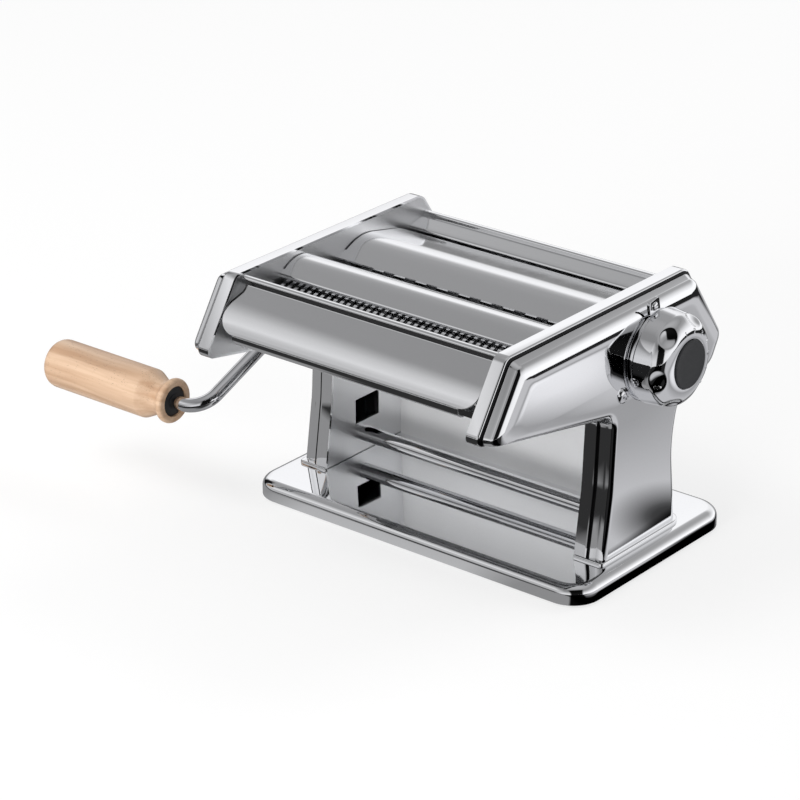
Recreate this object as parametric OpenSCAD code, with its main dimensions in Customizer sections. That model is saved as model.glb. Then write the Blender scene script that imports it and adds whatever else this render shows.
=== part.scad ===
// Hand cranked pasta machine. Two pressed side casings on a tray base carry a smooth roller pair,
// a wide cutter pair and a fine cutter pair. X runs along the rollers and +X is the knob side,
// -Y is the front where the noodles leave, Z is up. The origin is on the table under the base.

/* [Base] */
// Reach of the base beyond a side casing
base_side = 8.7; // [4:0.1:20]
// Width of the base from front to back
base_w = 122; // [112:1:140]
// Height of the base top above the table
base_h = 10; // [8:0.5:14]
// Corner radius of the base in plan
base_r = 15; // [8:1:22]
// Sheet thickness of the base tray
base_t = 1.5; // [1:0.1:2]
// Size of the rounded edge round the top of the tray
base_edge = 5; // [3:0.5:7]
// Drop of that rounded edge
base_edge_drop = 3.6; // [2:0.2:4.5]
// Gap between the table and the tray's skirt
skirt_gap = 0.8; // [0.4:0.1:1.5]
// Diameter of a rubber foot
foot_d = 16; // [10:1:20]
// Distance of a foot's centre from the base's sides
foot_inset = 17; // [13:1:24]

/* [Frame] */
// Clear width between the two side plates
gap_w = 151; // [140:1:170]
// Thickness of a side plate
plate_t = 1.5; // [1:0.1:2.5]
// Thickness of the covers and guide plates
sheet_t = 1.2; // [0.8:0.1:1.6]
// Diameter of the bar between the feet of the uprights
tie_d = 8; // [6:0.5:10]
// Height of that bar
tie_z = 20.3; // [17:0.5:24]
// Place of that bar from the middle plane of the base
tie_y = -2.7; // [-8:0.1:4]
// Diameter of the three rods that brace the head
rod_d = 6; // [4:0.5:7]
// Place of the back panel between the uprights
panel_y = 26.4; // [25:0.2:27]
// Height of the top of the back panel
panel_top = 79; // [60:1:80]
// Side of the square window in a side plate
window_w = 18; // [10:1:22]
// Height of the bottom edge of that window
window_z = 27; // [26:1:34]
// Height of that window
window_h = 13; // [8:1:20]

/* [Side casings] */
// Depth of a casing from the side plate to its outer face
casing_d = 15.8; // [15.2:0.1:20]
// Sheet thickness of a casing
casing_t = 1.2; // [0.8:0.1:1.4]
// Width of the flat rim round a casing
rim_w = 6.5; // [5:0.5:7]
// Depth of the groove behind the rim
groove_in = 2; // [1:0.1:2.4]
// Width of that groove
groove_w = 1.6; // [1:0.1:2]
// Width of the sloping band outside the groove
band_w = 4.4; // [3:0.1:5]
// Rise of the sloping band
band_in = 2.2; // [1:0.1:3]
// Breadth of the round between the band and the outer face
round_in = 5.5; // [3:0.1:6]
// Height of the head's top
head_top = 133; // [131:0.5:140]
// Reach of the head's tip in front of the middle plane
tip_y = 117.5; // [115:0.5:124]
// Height of the head's tip
tip_z = 97.6; // [92:0.2:100]
// Place of the front corner of the head's top, in front of the middle plane
top_front_y = 94.6; // [92:0.2:98]
// Place of the back corner of the head's top
top_back_y = 43.8; // [41:0.2:47]
// Rearmost point of the head
back_y = 69.2; // [67:0.2:76]
// Height of the rearmost point
back_z = 96.2; // [92:0.2:100]
// Width of the foot flange beyond the casing
flange_w = 2; // [1:0.2:3]

/* [Smooth rollers] */
// Diameter of a smooth roller
smooth_d = 25; // [22:0.2:25.2]
// Place of the knob's axis behind the middle plane
knob_y = 7.5; // [6.5:0.1:8]
// Height of the knob's axis
knob_z = 103.5; // [103:0.1:104.5]
// Place of the driven roller behind the knob's axis
drive_dy = 25; // [24.8:0.1:25.6]
// Drop of the driven roller below the knob's axis
drive_dz = 8; // [7.6:0.1:8.2]
// Offset of the eccentrics that set the gap
ecc = 0.965; // [0.6:0.005:1]
// Turn of the knob over its range in degrees
knob_turn = 150; // [90:5:160]
// Diameter of the setting shaft
setting_d = 6; // [5:0.2:6.4]

/* [Cutters] */
// Diameter of a cutter's discs
cutter_d = 21.2; // [21:0.1:21.6]
// Distance between the two axes of a cutter pair
cutter_c = 20; // [19.8:0.1:20.4]
// Depth of the grooves between the discs
cutter_groove = 2; // [1.4:0.1:2.2]
// Width of the fine noodles
fine_w = 2; // [1.6:0.1:2.4]
// Width of the wide noodles
wide_w = 6.5; // [5.5:0.1:7]
// Height of the fine cutters' axes
fine_z = 110; // [109:0.1:110.6]
// Height of the wide cutters' axes
wide_z = 107; // [106:0.1:107.4]
// Middle of the fine pair in front of the middle plane
fine_y = 72; // [71:0.1:72.8]
// Middle of the wide pair in front of the middle plane
wide_y = 27.5; // [27:0.1:28.2]

/* [Crank] */
// Diameter of the crank's rod
crank_d = 7; // [6:0.1:7.6]
// Length of the arm from the hub's axis to the grip's axis
arm_l = 121.8; // [90:0.2:140]
// Fall of the arm below the level at rest in degrees
arm_tilt = 22.7; // [-80:0.1:80]
// Distance of the arm's plane from the casing's outer face
arm_out = 22.2; // [19:0.1:34]
// Bend radius of the rod on its centre line
bend_r = 12; // [9:0.5:14]
// Length of the grip
grip_l = 80.5; // [70:0.5:110]
// Diameter of the grip
grip_d = 24.8; // [20:0.2:32]
// Diameter of the collar at the grip's neck
collar_d = 22.6; // [18:0.2:26]
// Diameter of the black bush in the grip's neck
bush_d = 15.4; // [12:0.2:17]

/* [Knob] */
// Diameter of the knob
knob_d = 46; // [44:0.5:48]
// Depth of the knob
knob_h = 17.3; // [16.5:0.1:20]
// Diameter of the knob's cap
cap_d = 23.4; // [20:0.2:26]
// Count of finger hollows in the knob
hollows = 6; // [4:1:8]
// Travel of the knob when it is pulled out
knob_pull = 2.5; // [1.5:0.1:3.5]

/* [Hidden] */

$fn = 64;
over = 1;            // overrun of every cut
fit_gap = 0.02;      // gap of a piece that is pressed or riveted in its seat
run_gap = 0.05;      // radial clearance of a running fit
clear = 0.3;         // clearance of pieces that must not touch
end_play = 0.5;      // space between a roller's end and a side plate
arc_n = 5;           // segments of a rounded corner in a casing's outline
round_n = 4;         // steps of the round at a casing's outer face
path_n = 10;         // segments of a bend in a sheet
r_min = 0.6;         // smallest corner radius of an inset outline

xi = gap_w / 2;                  // inner face of the right side plate
xp = xi + plate_t;               // its outer face
xo = xi + casing_d;              // outer face of the right casing
xc = xo - casing_t;              // inside of that face
base_l = (xo + base_side) * 2;   // length of the base along the rollers

// Vector helpers in a plane
function cross2(a, b) = a[0] * b[1] - a[1] * b[0];
function unit(v) = v / norm(v);
function left_of(v) = [-v[1], v[0]];
function turned(v, a) = [v[0] * cos(a) - v[1] * sin(a), v[0] * sin(a) + v[1] * cos(a)];
function meet(p, u, q, v) = p + u * (cross2(q - p, v) / cross2(u, v));
function xy(p) = [p[0], p[1]];

// Corner b between a and c, rounded by radius r in n segments
function corner(a, b, c, r, n) =
    let (u = unit(b - a), v = unit(c - b),
         turn = atan2(cross2(u, v), u * v),
         p = b - u * abs(r * tan(turn / 2)),
         m = p + left_of(u) * r * sign(turn))
    [for (k = [0 : n]) m + turned(p - m, turn * k / n)];

// Vertex i of a closed outline whose edge i, from vertex i to the next, moves in by ins[i]
function inset_vertex(pts, ins, i) =
    let (n = len(pts), j = (i + n - 1) % n, b = xy(pts[i]),
         u = unit(b - xy(pts[j])), v = unit(xy(pts[(i + 1) % n]) - b))
    meet(b + left_of(u) * ins[j], u, b + left_of(v) * ins[i], v);

// Radius of vertex i after that inset: outer corners shrink and inner corners grow
function inset_radius(pts, ins, i) =
    let (n = len(pts), j = (i + n - 1) % n, b = xy(pts[i]),
         bend = cross2(b - xy(pts[j]), xy(pts[(i + 1) % n]) - b),
         d = (ins[i] + ins[j]) / 2)
    bend > 0 ? max(pts[i][2] - d / 2, r_min) : pts[i][2] + d;

// Closed outline [[y, z, radius], ...], counter-clockwise, as points
function outline(pts, ins, n) =
    let (c = len(pts), v = [for (i = [0 : c - 1]) inset_vertex(pts, ins, i)])
    [for (i = [0 : c - 1])
        each corner(v[(i + c - 1) % c], v[i], v[(i + 1) % c], inset_radius(pts, ins, i), n)];

// Open bent path [[y, z, radius], ...] as points
function bent(pts, n) =
    let (c = len(pts))
    concat([xy(pts[0])],
        [for (i = [1 : c - 2])
            each corner(xy(pts[i - 1]), xy(pts[i]), xy(pts[i + 1]), pts[i][2], n)],
        [xy(pts[c - 1])]);

// Mean direction of a path at point i
function along(p, i) =
    unit(p[min(i + 1, len(p) - 1)] - p[max(i - 1, 0)]);

// Solid between rings of equal count, ring k at height hs[k]; each end is closed by a fan about hub,
// a point that sees the whole ring
module loft(rings, hs, hub, flat = false) {
    n = len(rings[0]);
    m = len(rings);
    all_rings = concat(rings, [[hub]], [[hub]]);
    all_hs = concat(hs, [hs[0]], [hs[m - 1]]);
    points = [for (k = [0 : m + 1]) for (p = all_rings[k])
        flat ? [p[0], p[1], all_hs[k]] : [all_hs[k], p[0], p[1]]];
    sides = [for (k = [0 : m - 2]) for (j = [0 : n - 1])
        let (a = k * n + j, b = k * n + (j + 1) % n, c = b + n, d = a + n)
        each [[a, d, c], [a, c, b]]];
    low = [for (j = [0 : n - 1]) [m * n, j, (j + 1) % n]];
    high = [for (j = [0 : n - 1]) [m * n + 1, (m - 1) * n + (j + 1) % n, (m - 1) * n + j]];
    polyhedron(points = points, faces = concat(sides, low, high));
}

// Sheet of thickness t bent along a path in the YZ plane, from x = a to x = b; the path is its outer side
module sheet(pts, t, a, b) {
    p = bent(pts, path_n);
    inner = [for (i = [len(p) - 1 : -1 : 0]) p[i] + left_of(along(p, i)) * t];
    translate([a, 0, 0]) rotate([90, 0, 90])
        linear_extrude(height = b - a) polygon(concat(p, inner));
}

// Cylinder along X from x = a to x = b at a place [y, z]
module bar(at, r, a, b, sides = $fn) {
    translate([a, at[0], at[1]]) rotate([0, 90, 0]) cylinder(r = r, h = b - a, $fn = sides);
}

// Both sides of the machine
module both() { children(); mirror([1, 0, 0]) children(); }

// Places of the axes in the YZ plane
knob_at = [knob_y, knob_z];
drive_at = knob_at + [drive_dy, -drive_dz];
to_drive = unit(drive_at - knob_at);             // way in which the gap closes
gap_at = knob_at - to_drive * ecc;               // adjustable roller with the gap open
closed_at = knob_at - turned(to_drive, knob_turn) * ecc; // the same roller with the gap closed
fine_front_at = [-fine_y - cutter_c / 2, fine_z];
fine_rear_at = [-fine_y + cutter_c / 2, fine_z];
wide_front_at = [-wide_y - cutter_c / 2, wide_z];
wide_rear_at = [-wide_y + cutter_c / 2, wide_z];
roller_x = xi - end_play;                        // half length of every roller

// Side outline of a casing, as [y, z, corner radius], counter-clockwise from the foot's front
upright_front = -32.4;   // front edge of the upright at its foot
upright_neck = -25.4;    // front edge of the upright at its top
upright_mid = -27.3;     // front edge of the upright halfway up
mid_z = 45;              // height of that place
upright_back = 33;       // back edge of the upright at its foot
upright_waist = 28.5;    // back edge of the upright at its waist
waist_z = 52;            // height of the waist
neck_z = 80.2;           // height of the corner under the head
back_low_y = 60;         // lower corner of the head's back
back_low_z = 80;
join_z = 74;             // height where the upright's back meets the head
side = [
    [upright_front, base_h, r_min],
    [upright_back, base_h, r_min],
    [upright_waist, waist_z, 60],
    [upright_back, join_z, 14],
    [back_low_y, back_low_z, 12],
    [back_y, back_z, 7],
    [top_back_y, head_top, 8],
    [-top_front_y, head_top, 5.5],
    [-tip_y, tip_z, 4],
    [upright_neck, neck_z, 5],
    [upright_mid, mid_z, 80],
];
// Share of the full draft that each edge of the outline takes
draft_shares = [0, 0.95, 0.95, 0.9, 1, 1, 1, 1, 0.35, 0.5, 0.5];
foot_edge = 0;           // the edge that stands on the base
side_hub = [5, 92];      // a point in the head that sees the whole outline

function casing_inset(d, t) =
    [for (i = [0 : len(side) - 1]) i == foot_edge ? -t : draft_shares[i] * d + t];

// Section stations of a casing: distance from the side plate and draft there
groove_x = rim_w + groove_w;
band_x = groove_x + band_w;
stations = concat(
    [[0, 0], [rim_w, 0], [rim_w + groove_w / 2, groove_in], [groove_x, groove_in],
     [band_x, groove_in + band_in]],
    [for (k = [1 : round_n]) let (a = 90 * k / round_n)
        [band_x + (casing_d - band_x) * sin(a), groove_in + band_in + round_in * (1 - cos(a))]]);

module casing_skin() {
    loft([for (s = stations) outline(side, casing_inset(s[1], 0), arc_n)],
         [for (s = stations) xi + s[0]], side_hub);
}

module casing_hollow() {
    last = len(stations) - 1;
    loft([for (s = stations) outline(side, casing_inset(s[1], casing_t), arc_n)],
         [for (k = [0 : last]) let (s = stations[k])
            k == 0 ? xi - over : xi + s[0] * (casing_d - casing_t) / casing_d], side_hub);
}

// Socket in the end of a driven shaft that takes the crank
socket_r = crank_d / 2 + 0.1;
socket_l = 12;            // depth of the socket
socket_wall = 2.4;        // wall round the socket
key_d = 2.2;              // diameter of the crank's cross pin
key_gap = 0.1;            // clearance of that pin in its slot
key_in = 2.3;             // place of that pin inside the mouth of the socket
shaft_end = xo - casing_t / 2;
hub_r = socket_r + socket_wall;
hub_hole_r = hub_r + clear * 2;

// Knob and the dial plate behind it
dial_r = knob_d / 2 - 1;
dial_t = 1.5;
knob_x = xo + dial_t + clear;   // back face of the knob
screw_at = [-18.6, 91.7];       // the screw that holds a casing
screw_r = 2;
screw_head_r = 3.9;
screw_head_h = 1.9;
post_r = 2.9;

module casing(holes, knob_side) {
    difference() {
        union() {
            difference() {
                casing_skin();
                casing_hollow();
            }
            foot_flange();
        }
        if (knob_side) bar(knob_at, bush_seat_r, xc - over, xo + over);
        for (at = holes) bar(at, hub_hole_r, xc - over, xo + over);
        bar(screw_at, screw_r + clear / 2, xc - over, xo + over);
    }
}

bush_seat_r = setting_d / 2 + 1.6;
flange_t = 1.6;               // thickness of the foot flange

module foot_flange() {
    foot_x = xo + flange_w / 2;
    lean = groove_in + band_in;
    front = upright_front - flange_w / 4;
    back = upright_back + flange_w / 2;
    difference() {
        translate([0, 0, base_h]) linear_extrude(height = flange_t) polygon([
            [xi, front], [foot_x - flange_w, front], [foot_x - flange_w / 4, front + flange_w / 2],
            [foot_x, front + flange_w], [foot_x, back - lean * 2],
            [foot_x - flange_w, back - lean], [xi + rim_w, back], [xi, back]]);
        casing_hollow();
    }
}

// Base

function base_ring(d) =
    let (l = base_l / 2 - d, w = base_w / 2 - d, r = max(base_r - d, r_min),
         p = [[-l, -w], [l, -w], [l, w], [-l, w]])
    [for (i = [0 : 3]) each corner(p[(i + 3) % 4], p[i], p[(i + 1) % 4], r, arc_n + 2)];

base_steps = 5;
function base_rings(t) = concat([base_ring(t)],
    [for (k = [0 : base_steps]) base_ring(t + base_edge * (1 - cos(90 * k / base_steps)))]);
function base_heights(low, t) = concat([low],
    [for (k = [0 : base_steps])
        base_h - t - base_edge_drop * (1 - sin(90 * k / base_steps))]);

base_screw_r = 2;
base_screw_head_r = 4;
base_screw_head_h = 2.2;
lug_w = 9.5;                  // reach of a side plate's foot lug
lug_y = 17;                   // place of the foot screws in front of and behind the middle
lug_at = xp + lug_w / 2;

module base_screw_places() {
    for (sx = [-1, 1]) for (sy = [-1, 1])
        translate([sx * lug_at, sy * lug_y, 0]) children();
}

module base_plate() {
    color("silver") difference() {
        loft(base_rings(0), base_heights(skirt_gap, 0), [0, 0], true);
        loft(base_rings(base_t), base_heights(skirt_gap - over, base_t), [0, 0], true);
        base_screw_places() translate([0, 0, base_h - base_t - over])
            cylinder(r = base_screw_r + clear / 2, h = base_t + over * 2);
    }
}

module rubber_feet() {
    top_r = foot_d / 2 - clear;
    color("black") for (sx = [-1, 1]) for (sy = [-1, 1])
        translate([sx * (base_l / 2 - foot_inset), sy * (base_w / 2 - foot_inset), 0])
            rotate_extrude() polygon([
                [0, 0], [foot_d / 2 - clear, 0], [foot_d / 2, clear], [top_r, base_h - base_t],
                [0, base_h - base_t]]);
}

module base_screws() {
    color("gray") base_screw_places() {
        translate([0, 0, base_h - base_t - base_screw_head_h])
            cylinder(r = base_screw_head_r, h = base_screw_head_h);
        translate([0, 0, base_h - base_t - base_screw_head_h / 2])
            cylinder(r = base_screw_r, h = base_t + plate_t + base_screw_head_h);
    }
}

// Side plates
bush_wall = 1.5;
journal_r = 5;
bush_r = journal_r + run_gap + bush_wall;          // outside of a cutter's or driven roller's bush
setting_bush_r = setting_d / 2 + run_gap + bush_wall;
sleeve_r = 7.5;                                     // hollow journal of the adjustable roller
sleeve_hole_r = sleeve_r + ecc + clear * 4;
rod_front_at = [-97, 112];
rod_mid_at = [-49.7, 118];
rod_rear_at = [52, 100];
rod_places = [rod_front_at, rod_mid_at, rod_rear_at];
rod_end_r = rod_d / 2 - plate_t / 2;
rivet_r = tie_d / 2 - plate_t;

module side_plate(knob_side) {
    difference() {
        union() {
            translate([xi, 0, 0]) rotate([90, 0, 90]) linear_extrude(height = plate_t)
                polygon(outline(side,
                    [for (i = [0 : len(side) - 1]) i == foot_edge ? 0 : casing_t + fit_gap], arc_n));
            for (s = [-1, 1]) translate([xp - plate_t / 2, s * lug_y - lug_w / 2, base_h])
                cube([lug_w + plate_t / 2, lug_w, plate_t]);
        }
        for (at = [fine_front_at, fine_rear_at, wide_front_at, wide_rear_at, drive_at])
            bar(at, bush_r + fit_gap, xi - over, xp + over);
        bar(knob_at, knob_side ? setting_bush_r + fit_gap : sleeve_hole_r, xi - over, xp + over);
        for (at = rod_places) bar(at, rod_end_r + clear / 3, xi - over, xp + over);
        bar([tie_y, tie_z], rivet_r + fit_gap, xi - over, xp + over);
        bar(screw_at, screw_r + clear / 2, xi - over, xp + over);
        translate([xi - over, -window_w / 2, window_z]) cube([plate_t + over * 2, window_w, window_h]);
        for (s = [-1, 1]) translate([lug_at, s * lug_y, base_h - over])
            cylinder(r = base_screw_r + clear / 2, h = plate_t + over * 2);
    }
}

module left_side_plate() { color("silver") mirror([1, 0, 0]) side_plate(false); }
module right_side_plate() { color("silver") side_plate(true); }
module left_casing() {
    color("silver") mirror([1, 0, 0]) casing([drive_at, fine_rear_at, wide_rear_at], false);
}
module right_casing() { color("silver") casing([], true); }

module casing_posts() {
    color("gray") both() difference() {
        bar(screw_at, post_r, xp, xc);
        bar(screw_at, screw_r + fit_gap, xp - over, xc + over);
    }
}

module casing_screws() {
    cross_w = screw_r / 2.5;
    color("silver") both() difference() {
        union() {
            bar(screw_at, screw_r, xp + plate_t, xo + screw_head_h / 2);
            bar(screw_at, screw_head_r, xo, xo + screw_head_h / 2);
            translate([xo + screw_head_h / 2, screw_at[0], screw_at[1]]) rotate([0, 90, 0])
                cylinder(r1 = screw_head_r, r2 = screw_head_r / 2, h = screw_head_h / 2);
        }
        for (a = [0, 90]) translate([xo + screw_head_h / 2, screw_at[0], screw_at[1]]) rotate([a, 0, 0])
            translate([0, -screw_r, -cross_w / 2]) cube([over * 2, screw_r * 2, cross_w]);
    }
}

module rear_panel() {
    lip = 6;
    color("silver") union() {
        translate([-xi, panel_y, base_h]) cube([gap_w, sheet_t, panel_top - base_h]);
        translate([-xi, panel_y, panel_top - sheet_t]) cube([gap_w, lip, sheet_t]);
    }
}

module tie_bar() {
    at = [tie_y, tie_z];
    color("silver") union() {
        bar(at, tie_d / 2, -xi, xi);
        bar(at, rivet_r, -xp - plate_t / 2, xp + plate_t / 2);
        both() bar(at, tie_d / 2, xp, xp + plate_t);
    }
}

module head_rods() {
    color("silver") for (at = rod_places) union() {
        bar(at, rod_d / 2, -xi, xi);
        bar(at, rod_end_r, -xp - nut_h, xp + nut_h);
    }
}
nut_h = 1.8;
nut_r = 4.4;

module rod_nuts() {
    color("gray") both() for (at = rod_places) difference() {
        bar(at, nut_r, xp, xp + nut_h, 6);
        bar(at, rod_end_r + fit_gap, xp - over, xp + nut_h + over);
    }
}

// Covers over the head. Each path is the outer side of the sheet, from front to back, and its
// points are shares of the sheet's reach from front to back and of its height
cover_x = xi - 2.2;           // half length of the sheet of a cover
front_x = xi - 4;             // half length of the front plate
front_corner = 9;             // corner radius of the front plate
tab_l = 3;
cutter_top = cutter_d / 2;
cover_from = 7.6;             // front edge of the front cover behind the middle of the fine pair
cover_to = 7.7;               // its back edge in front of the middle of the wide pair
cover_over = 3.2;             // its edges above the fine cutters
cover_h = 7.8;                // its height above those edges
middle_from = 6.3;            // front edge of the middle cover behind the middle of the wide pair
middle_to = 5.9;              // its back edge in front of the driven roller's axis
middle_over = 1.7;            // its front edge above the wide cutters
middle_h = 7.7;
hopper_from = 0.9;            // front edge of the hopper plate in front of that axis
hopper_to = 28.5;             // its rearmost point behind that axis
hopper_low = 13;              // its lower edge below that axis
hopper_h = 40.1;
plate_from = 39.3;            // lower front edge of the front plate in front of the fine pair
plate_to = 12.4;              // its back edge in front of the middle of the fine pair
plate_low = 6.2;              // its lower edge below the fine cutters' axes
plate_h = 26.1;

front_shares = [[0.271, 0, 0], [0, 0.061, 0.077], [0.286, 0.567, 1.3], [0.851, 1, 0.077], [1, 0.881, 0]];
cover_shares = [[0.021, -0.295, 0], [0, 0, 0.205], [0.493, 1, 2.05], [1, 0.051, 0.205], [0.952, -0.564, 0]];
middle_shares = [[0, 0, 0], [0.36, 1, 3.38], [1, 0.169, 0.23], [0.975, -0.753, 0]];
hopper_shares = [[0, 0.698, 0], [0.044, 0.93, 0.04], [0.503, 1, 0.06], [1, 0.411, 0.22], [0.745, 0, 0]];

// Path of a cover from y = a to y = b, standing on z = low with height h
function shaped(shares, a, b, low, h) = [for (s = shares) [a + s[0] * (b - a), low + s[1] * h, s[2] * h]];

front_path = shaped(front_shares, -fine_y - plate_from, -fine_y - plate_to, fine_z - plate_low, plate_h);
front_cover_path = shaped(cover_shares, -fine_y + cover_from, -wide_y - cover_to,
    fine_z + cutter_top + cover_over, cover_h);
middle_cover_path = shaped(middle_shares, -wide_y + middle_from, drive_at[0] - middle_to,
    wide_z + cutter_top + middle_over, middle_h);
hopper_path = shaped(hopper_shares, drive_at[0] - hopper_from, drive_at[0] + hopper_to,
    drive_at[1] - hopper_low, hopper_h);

function reversed(p) = [for (i = [len(p) - 1 : -1 : 0]) p[i]];

// A cover's sheet, cut back at both ends but for a tab at its front and back edge
module cover(path) {
    last = len(path) - 1;
    low = path[0][1] / 2;
    front = min(path[0][0], path[1][0]) + tab_l;
    back = max(path[last][0], path[last - 1][0]) - tab_l;
    difference() {
        sheet(reversed(path), sheet_t, -xi, xi);
        both() translate([cover_x, front, low]) cube([xi, back - front, low * 2]);
    }
}

module front_plate() {
    a = front_path[1];
    b = front_path[3];
    mid = (xy(a) + xy(b)) / 2;
    slope = atan2(b[1] - a[1], b[0] - a[0]);
    reach = norm(xy(b) - xy(a)) / 2;
    lip = xy(front_path[0]);
    color("silver") union() {
        intersection() {
            sheet(front_path, sheet_t, -front_x, front_x);
            translate([0, mid[0], mid[1]]) rotate([slope, 0, 0])
                front_mask(reach + sheet_t);
        }
        both() translate([front_x - tab_l * 3, lip[0] - tab_l, lip[1] - sheet_t / 2])
            cube([xi - front_x + tab_l * 3, tab_l, sheet_t * 2]);
    }
}

// Rounded block that gives the front plate its corners, square to the plate
module front_mask(reach) {
    depth = 40;
    translate([0, 0, -depth / 2]) linear_extrude(height = depth) union() {
        square([front_x * 2 - front_corner * 2, reach * 2], center = true);
        square([front_x * 2, reach * 2 - front_corner * 2], center = true);
        for (sx = [-1, 1]) for (sy = [-1, 1])
            translate([sx * (front_x - front_corner), sy * (reach - front_corner)])
                circle(r = front_corner);
    }
}

module front_cover() { color("silver") cover(front_cover_path); }
module middle_cover() { color("silver") cover(middle_cover_path); }
module hopper_plate() { color("silver") sheet(reversed(hopper_path), sheet_t, -xi, xi); }

// Bushes
bush_flange_t = 1.2;
bush_flange = 1.6;

module bush_pair(at, inner, outer) {
    difference() {
        union() {
            bar(at, outer, xi, xp + bush_flange_t);
            bar(at, outer + bush_flange, xp, xp + bush_flange_t);
        }
        bar(at, inner, xi - over, xp + bush_flange_t + over);
    }
}

module cutter_bushes() {
    color("goldenrod") both() for (at = [fine_front_at, fine_rear_at, wide_front_at, wide_rear_at])
        bush_pair(at, journal_r + run_gap, bush_r);
}
module drive_bushes() { color("goldenrod") both() bush_pair(drive_at, journal_r + run_gap, bush_r); }

module setting_bushes() {
    r = setting_d / 2 + run_gap;
    color("goldenrod") {
        bush_pair(knob_at, r, setting_bush_r);
        difference() {
            bar(knob_at, setting_bush_r, -xc, -xc + setting_bush_l);
            bar(knob_at, r, -xc - over, -xc + setting_bush_l + over);
        }
        difference() {
            union() {
                bar(knob_at, bush_seat_r - fit_gap, xc - bush_flange_t, xo);
                bar(knob_at, bush_seat_r + bush_flange, xc - bush_flange_t, xc);
            }
            bar(knob_at, r, xc - bush_flange_t - over, xo + over);
        }
    }
}
setting_bush_l = 2.2;

// Combs that clear the grooves of a cutter
comb_drop = 13;               // drop of a comb's bar below its cutter's axis
comb_bar_h = 3;
comb_bar_w = 8;
finger_t = 3;

module comb(at, w, shift) {
    n = disc_count(w, 0) - 1;
    tip = cutter_d / 2 - cutter_groove + clear * 2;
    fine_gap = clear + run_gap;
    color("silver") union() {
        translate([-xi, at[0] - comb_bar_w / 2, at[1] - comb_drop - comb_bar_h])
            cube([gap_w, comb_bar_w, comb_bar_h]);
        for (i = [-n : n - shift])
            translate([(i * 2 + shift) * w - w / 2 + fine_gap, at[0] - finger_t / 2,
                       at[1] - comb_drop - comb_bar_h / 2])
                cube([w - fine_gap * 2, finger_t, comb_drop - tip + comb_bar_h / 2]);
    }
}

// Cutter roller: discs of width w at every second pitch, shifted by one pitch on the mate
module cutter(at, w, shift, driven) {
    n = disc_count(w, shift);
    disc_w = w - run_gap * 2;
    core = cutter_d / 2 - cutter_groove;
    left_end = driven ? shaft_end : xc - clear * 2;
    color("silver") difference() {
        union() {
            bar(at, core, -roller_x, roller_x);
            bar(at, journal_r, -left_end, xp + bush_flange_t + clear);
            if (driven) bar(at, hub_r, -left_end, -gear_x - gear_t - clear);
            for (i = [shift - n - 1 : n])
                bar(at, cutter_d / 2, (i * 2 + 1 - shift) * w - disc_w / 2,
                    (i * 2 + 1 - shift) * w + disc_w / 2);
        }
        if (driven) socket(at, -left_end, 0);
    }
}
// Highest disc number that still fits on a roller
function disc_count(w, shift) = floor((roller_x + run_gap - w / 2 - (1 - shift) * w) / (w * 2));

// Blind socket with a cross slot that leans by turn, open to -X at x = mouth
module socket(at, mouth, turn) {
    bar(at, socket_r, mouth - over, mouth + socket_l);
    translate([mouth - over, at[0], at[1]]) rotate([turn, 0, 0])
        translate([0, -hub_r - over, -key_d / 2 - key_gap])
            cube([over + key_in + key_d / 2 + key_gap * 2, (hub_r + over) * 2, key_d + key_gap * 2]);
}

// Involute spur gear: n teeth, pitch radius rp, thinned by slack on each flank
press_a = 25;                 // pressure angle
flank_n = 5;
function inv_point(rb, a) = [rb * (cos(a) + a * PI / 180 * sin(a)), rb * (sin(a) - a * PI / 180 * cos(a))];
function inv_angle(rb, r) = let (a = sqrt(max(r * r / (rb * rb) - 1, 0))) a * 180 / PI;
function polar(p) = atan2(p[1], p[0]);

function gear_points(n, rp, add, ded, slack) =
    let (rb = rp * cos(press_a), ra = rp + add, rr = rp - ded,
         at_pitch = polar(inv_point(rb, inv_angle(rb, rp))),
         half = 90 / n - slack / rp * 180 / PI + at_pitch,
         r0 = max(rb, rr),
         flank = [for (k = [0 : flank_n]) let (r = r0 + (ra - r0) * k / flank_n,
                  q = inv_point(rb, inv_angle(rb, r))) [norm(q), half - polar(q)]])
    [for (t = [0 : n - 1]) let (c = 360 * t / n)
        each concat([[rr, c - half - 1]],
            [for (f = flank) [f[0], c - f[1]]],
            [for (k = [flank_n : -1 : 0]) [flank[k][0], c + flank[k][1]]],
            [[rr, c + half + 1]])];

gear_x = xp + 2.4;            // inner face of the cutters' gears
gear_t = 3.6;
smooth_gear_x = gear_x + gear_t + clear * 2;
smooth_teeth = 12;
cutter_teeth = 10;
gear_slack = 0.16;

module gear(at, n, rp, x, bore, turn) {
    m = rp * 2 / n;
    p = [for (q = gear_points(n, rp, m * 0.85, m * 1.25, gear_slack)) q[0] * [cos(q[1]), sin(q[1])]];
    color("dimgray") difference() {
        translate([-x - gear_t, at[0], at[1]]) rotate([90, 0, 90]) rotate(turn)
            linear_extrude(height = gear_t) polygon(p);
        bar(at, bore + fit_gap, -x - gear_t - over, -x + over);
    }
}

// Angle of the line from one axis to another, seen with Y to the right and Z up
function aim(a, b) = atan2(b[1] - a[1], b[0] - a[0]);

smooth_rp = norm(drive_at - closed_at) / 2;  // the two gears mesh fully with the gap closed

module drive_gear() {
    gear(drive_at, smooth_teeth, smooth_rp, smooth_gear_x, journal_r, aim(drive_at, closed_at));
}
module gap_gear() {
    gear(gap_at, smooth_teeth, smooth_rp, smooth_gear_x, sleeve_r,
         aim(closed_at, drive_at) + 180 / smooth_teeth);
}
module cutter_gear(at, other, offset_turn) {
    gear(at, cutter_teeth, cutter_c / 2, gear_x, journal_r, aim(at, other) + offset_turn);
}

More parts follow.
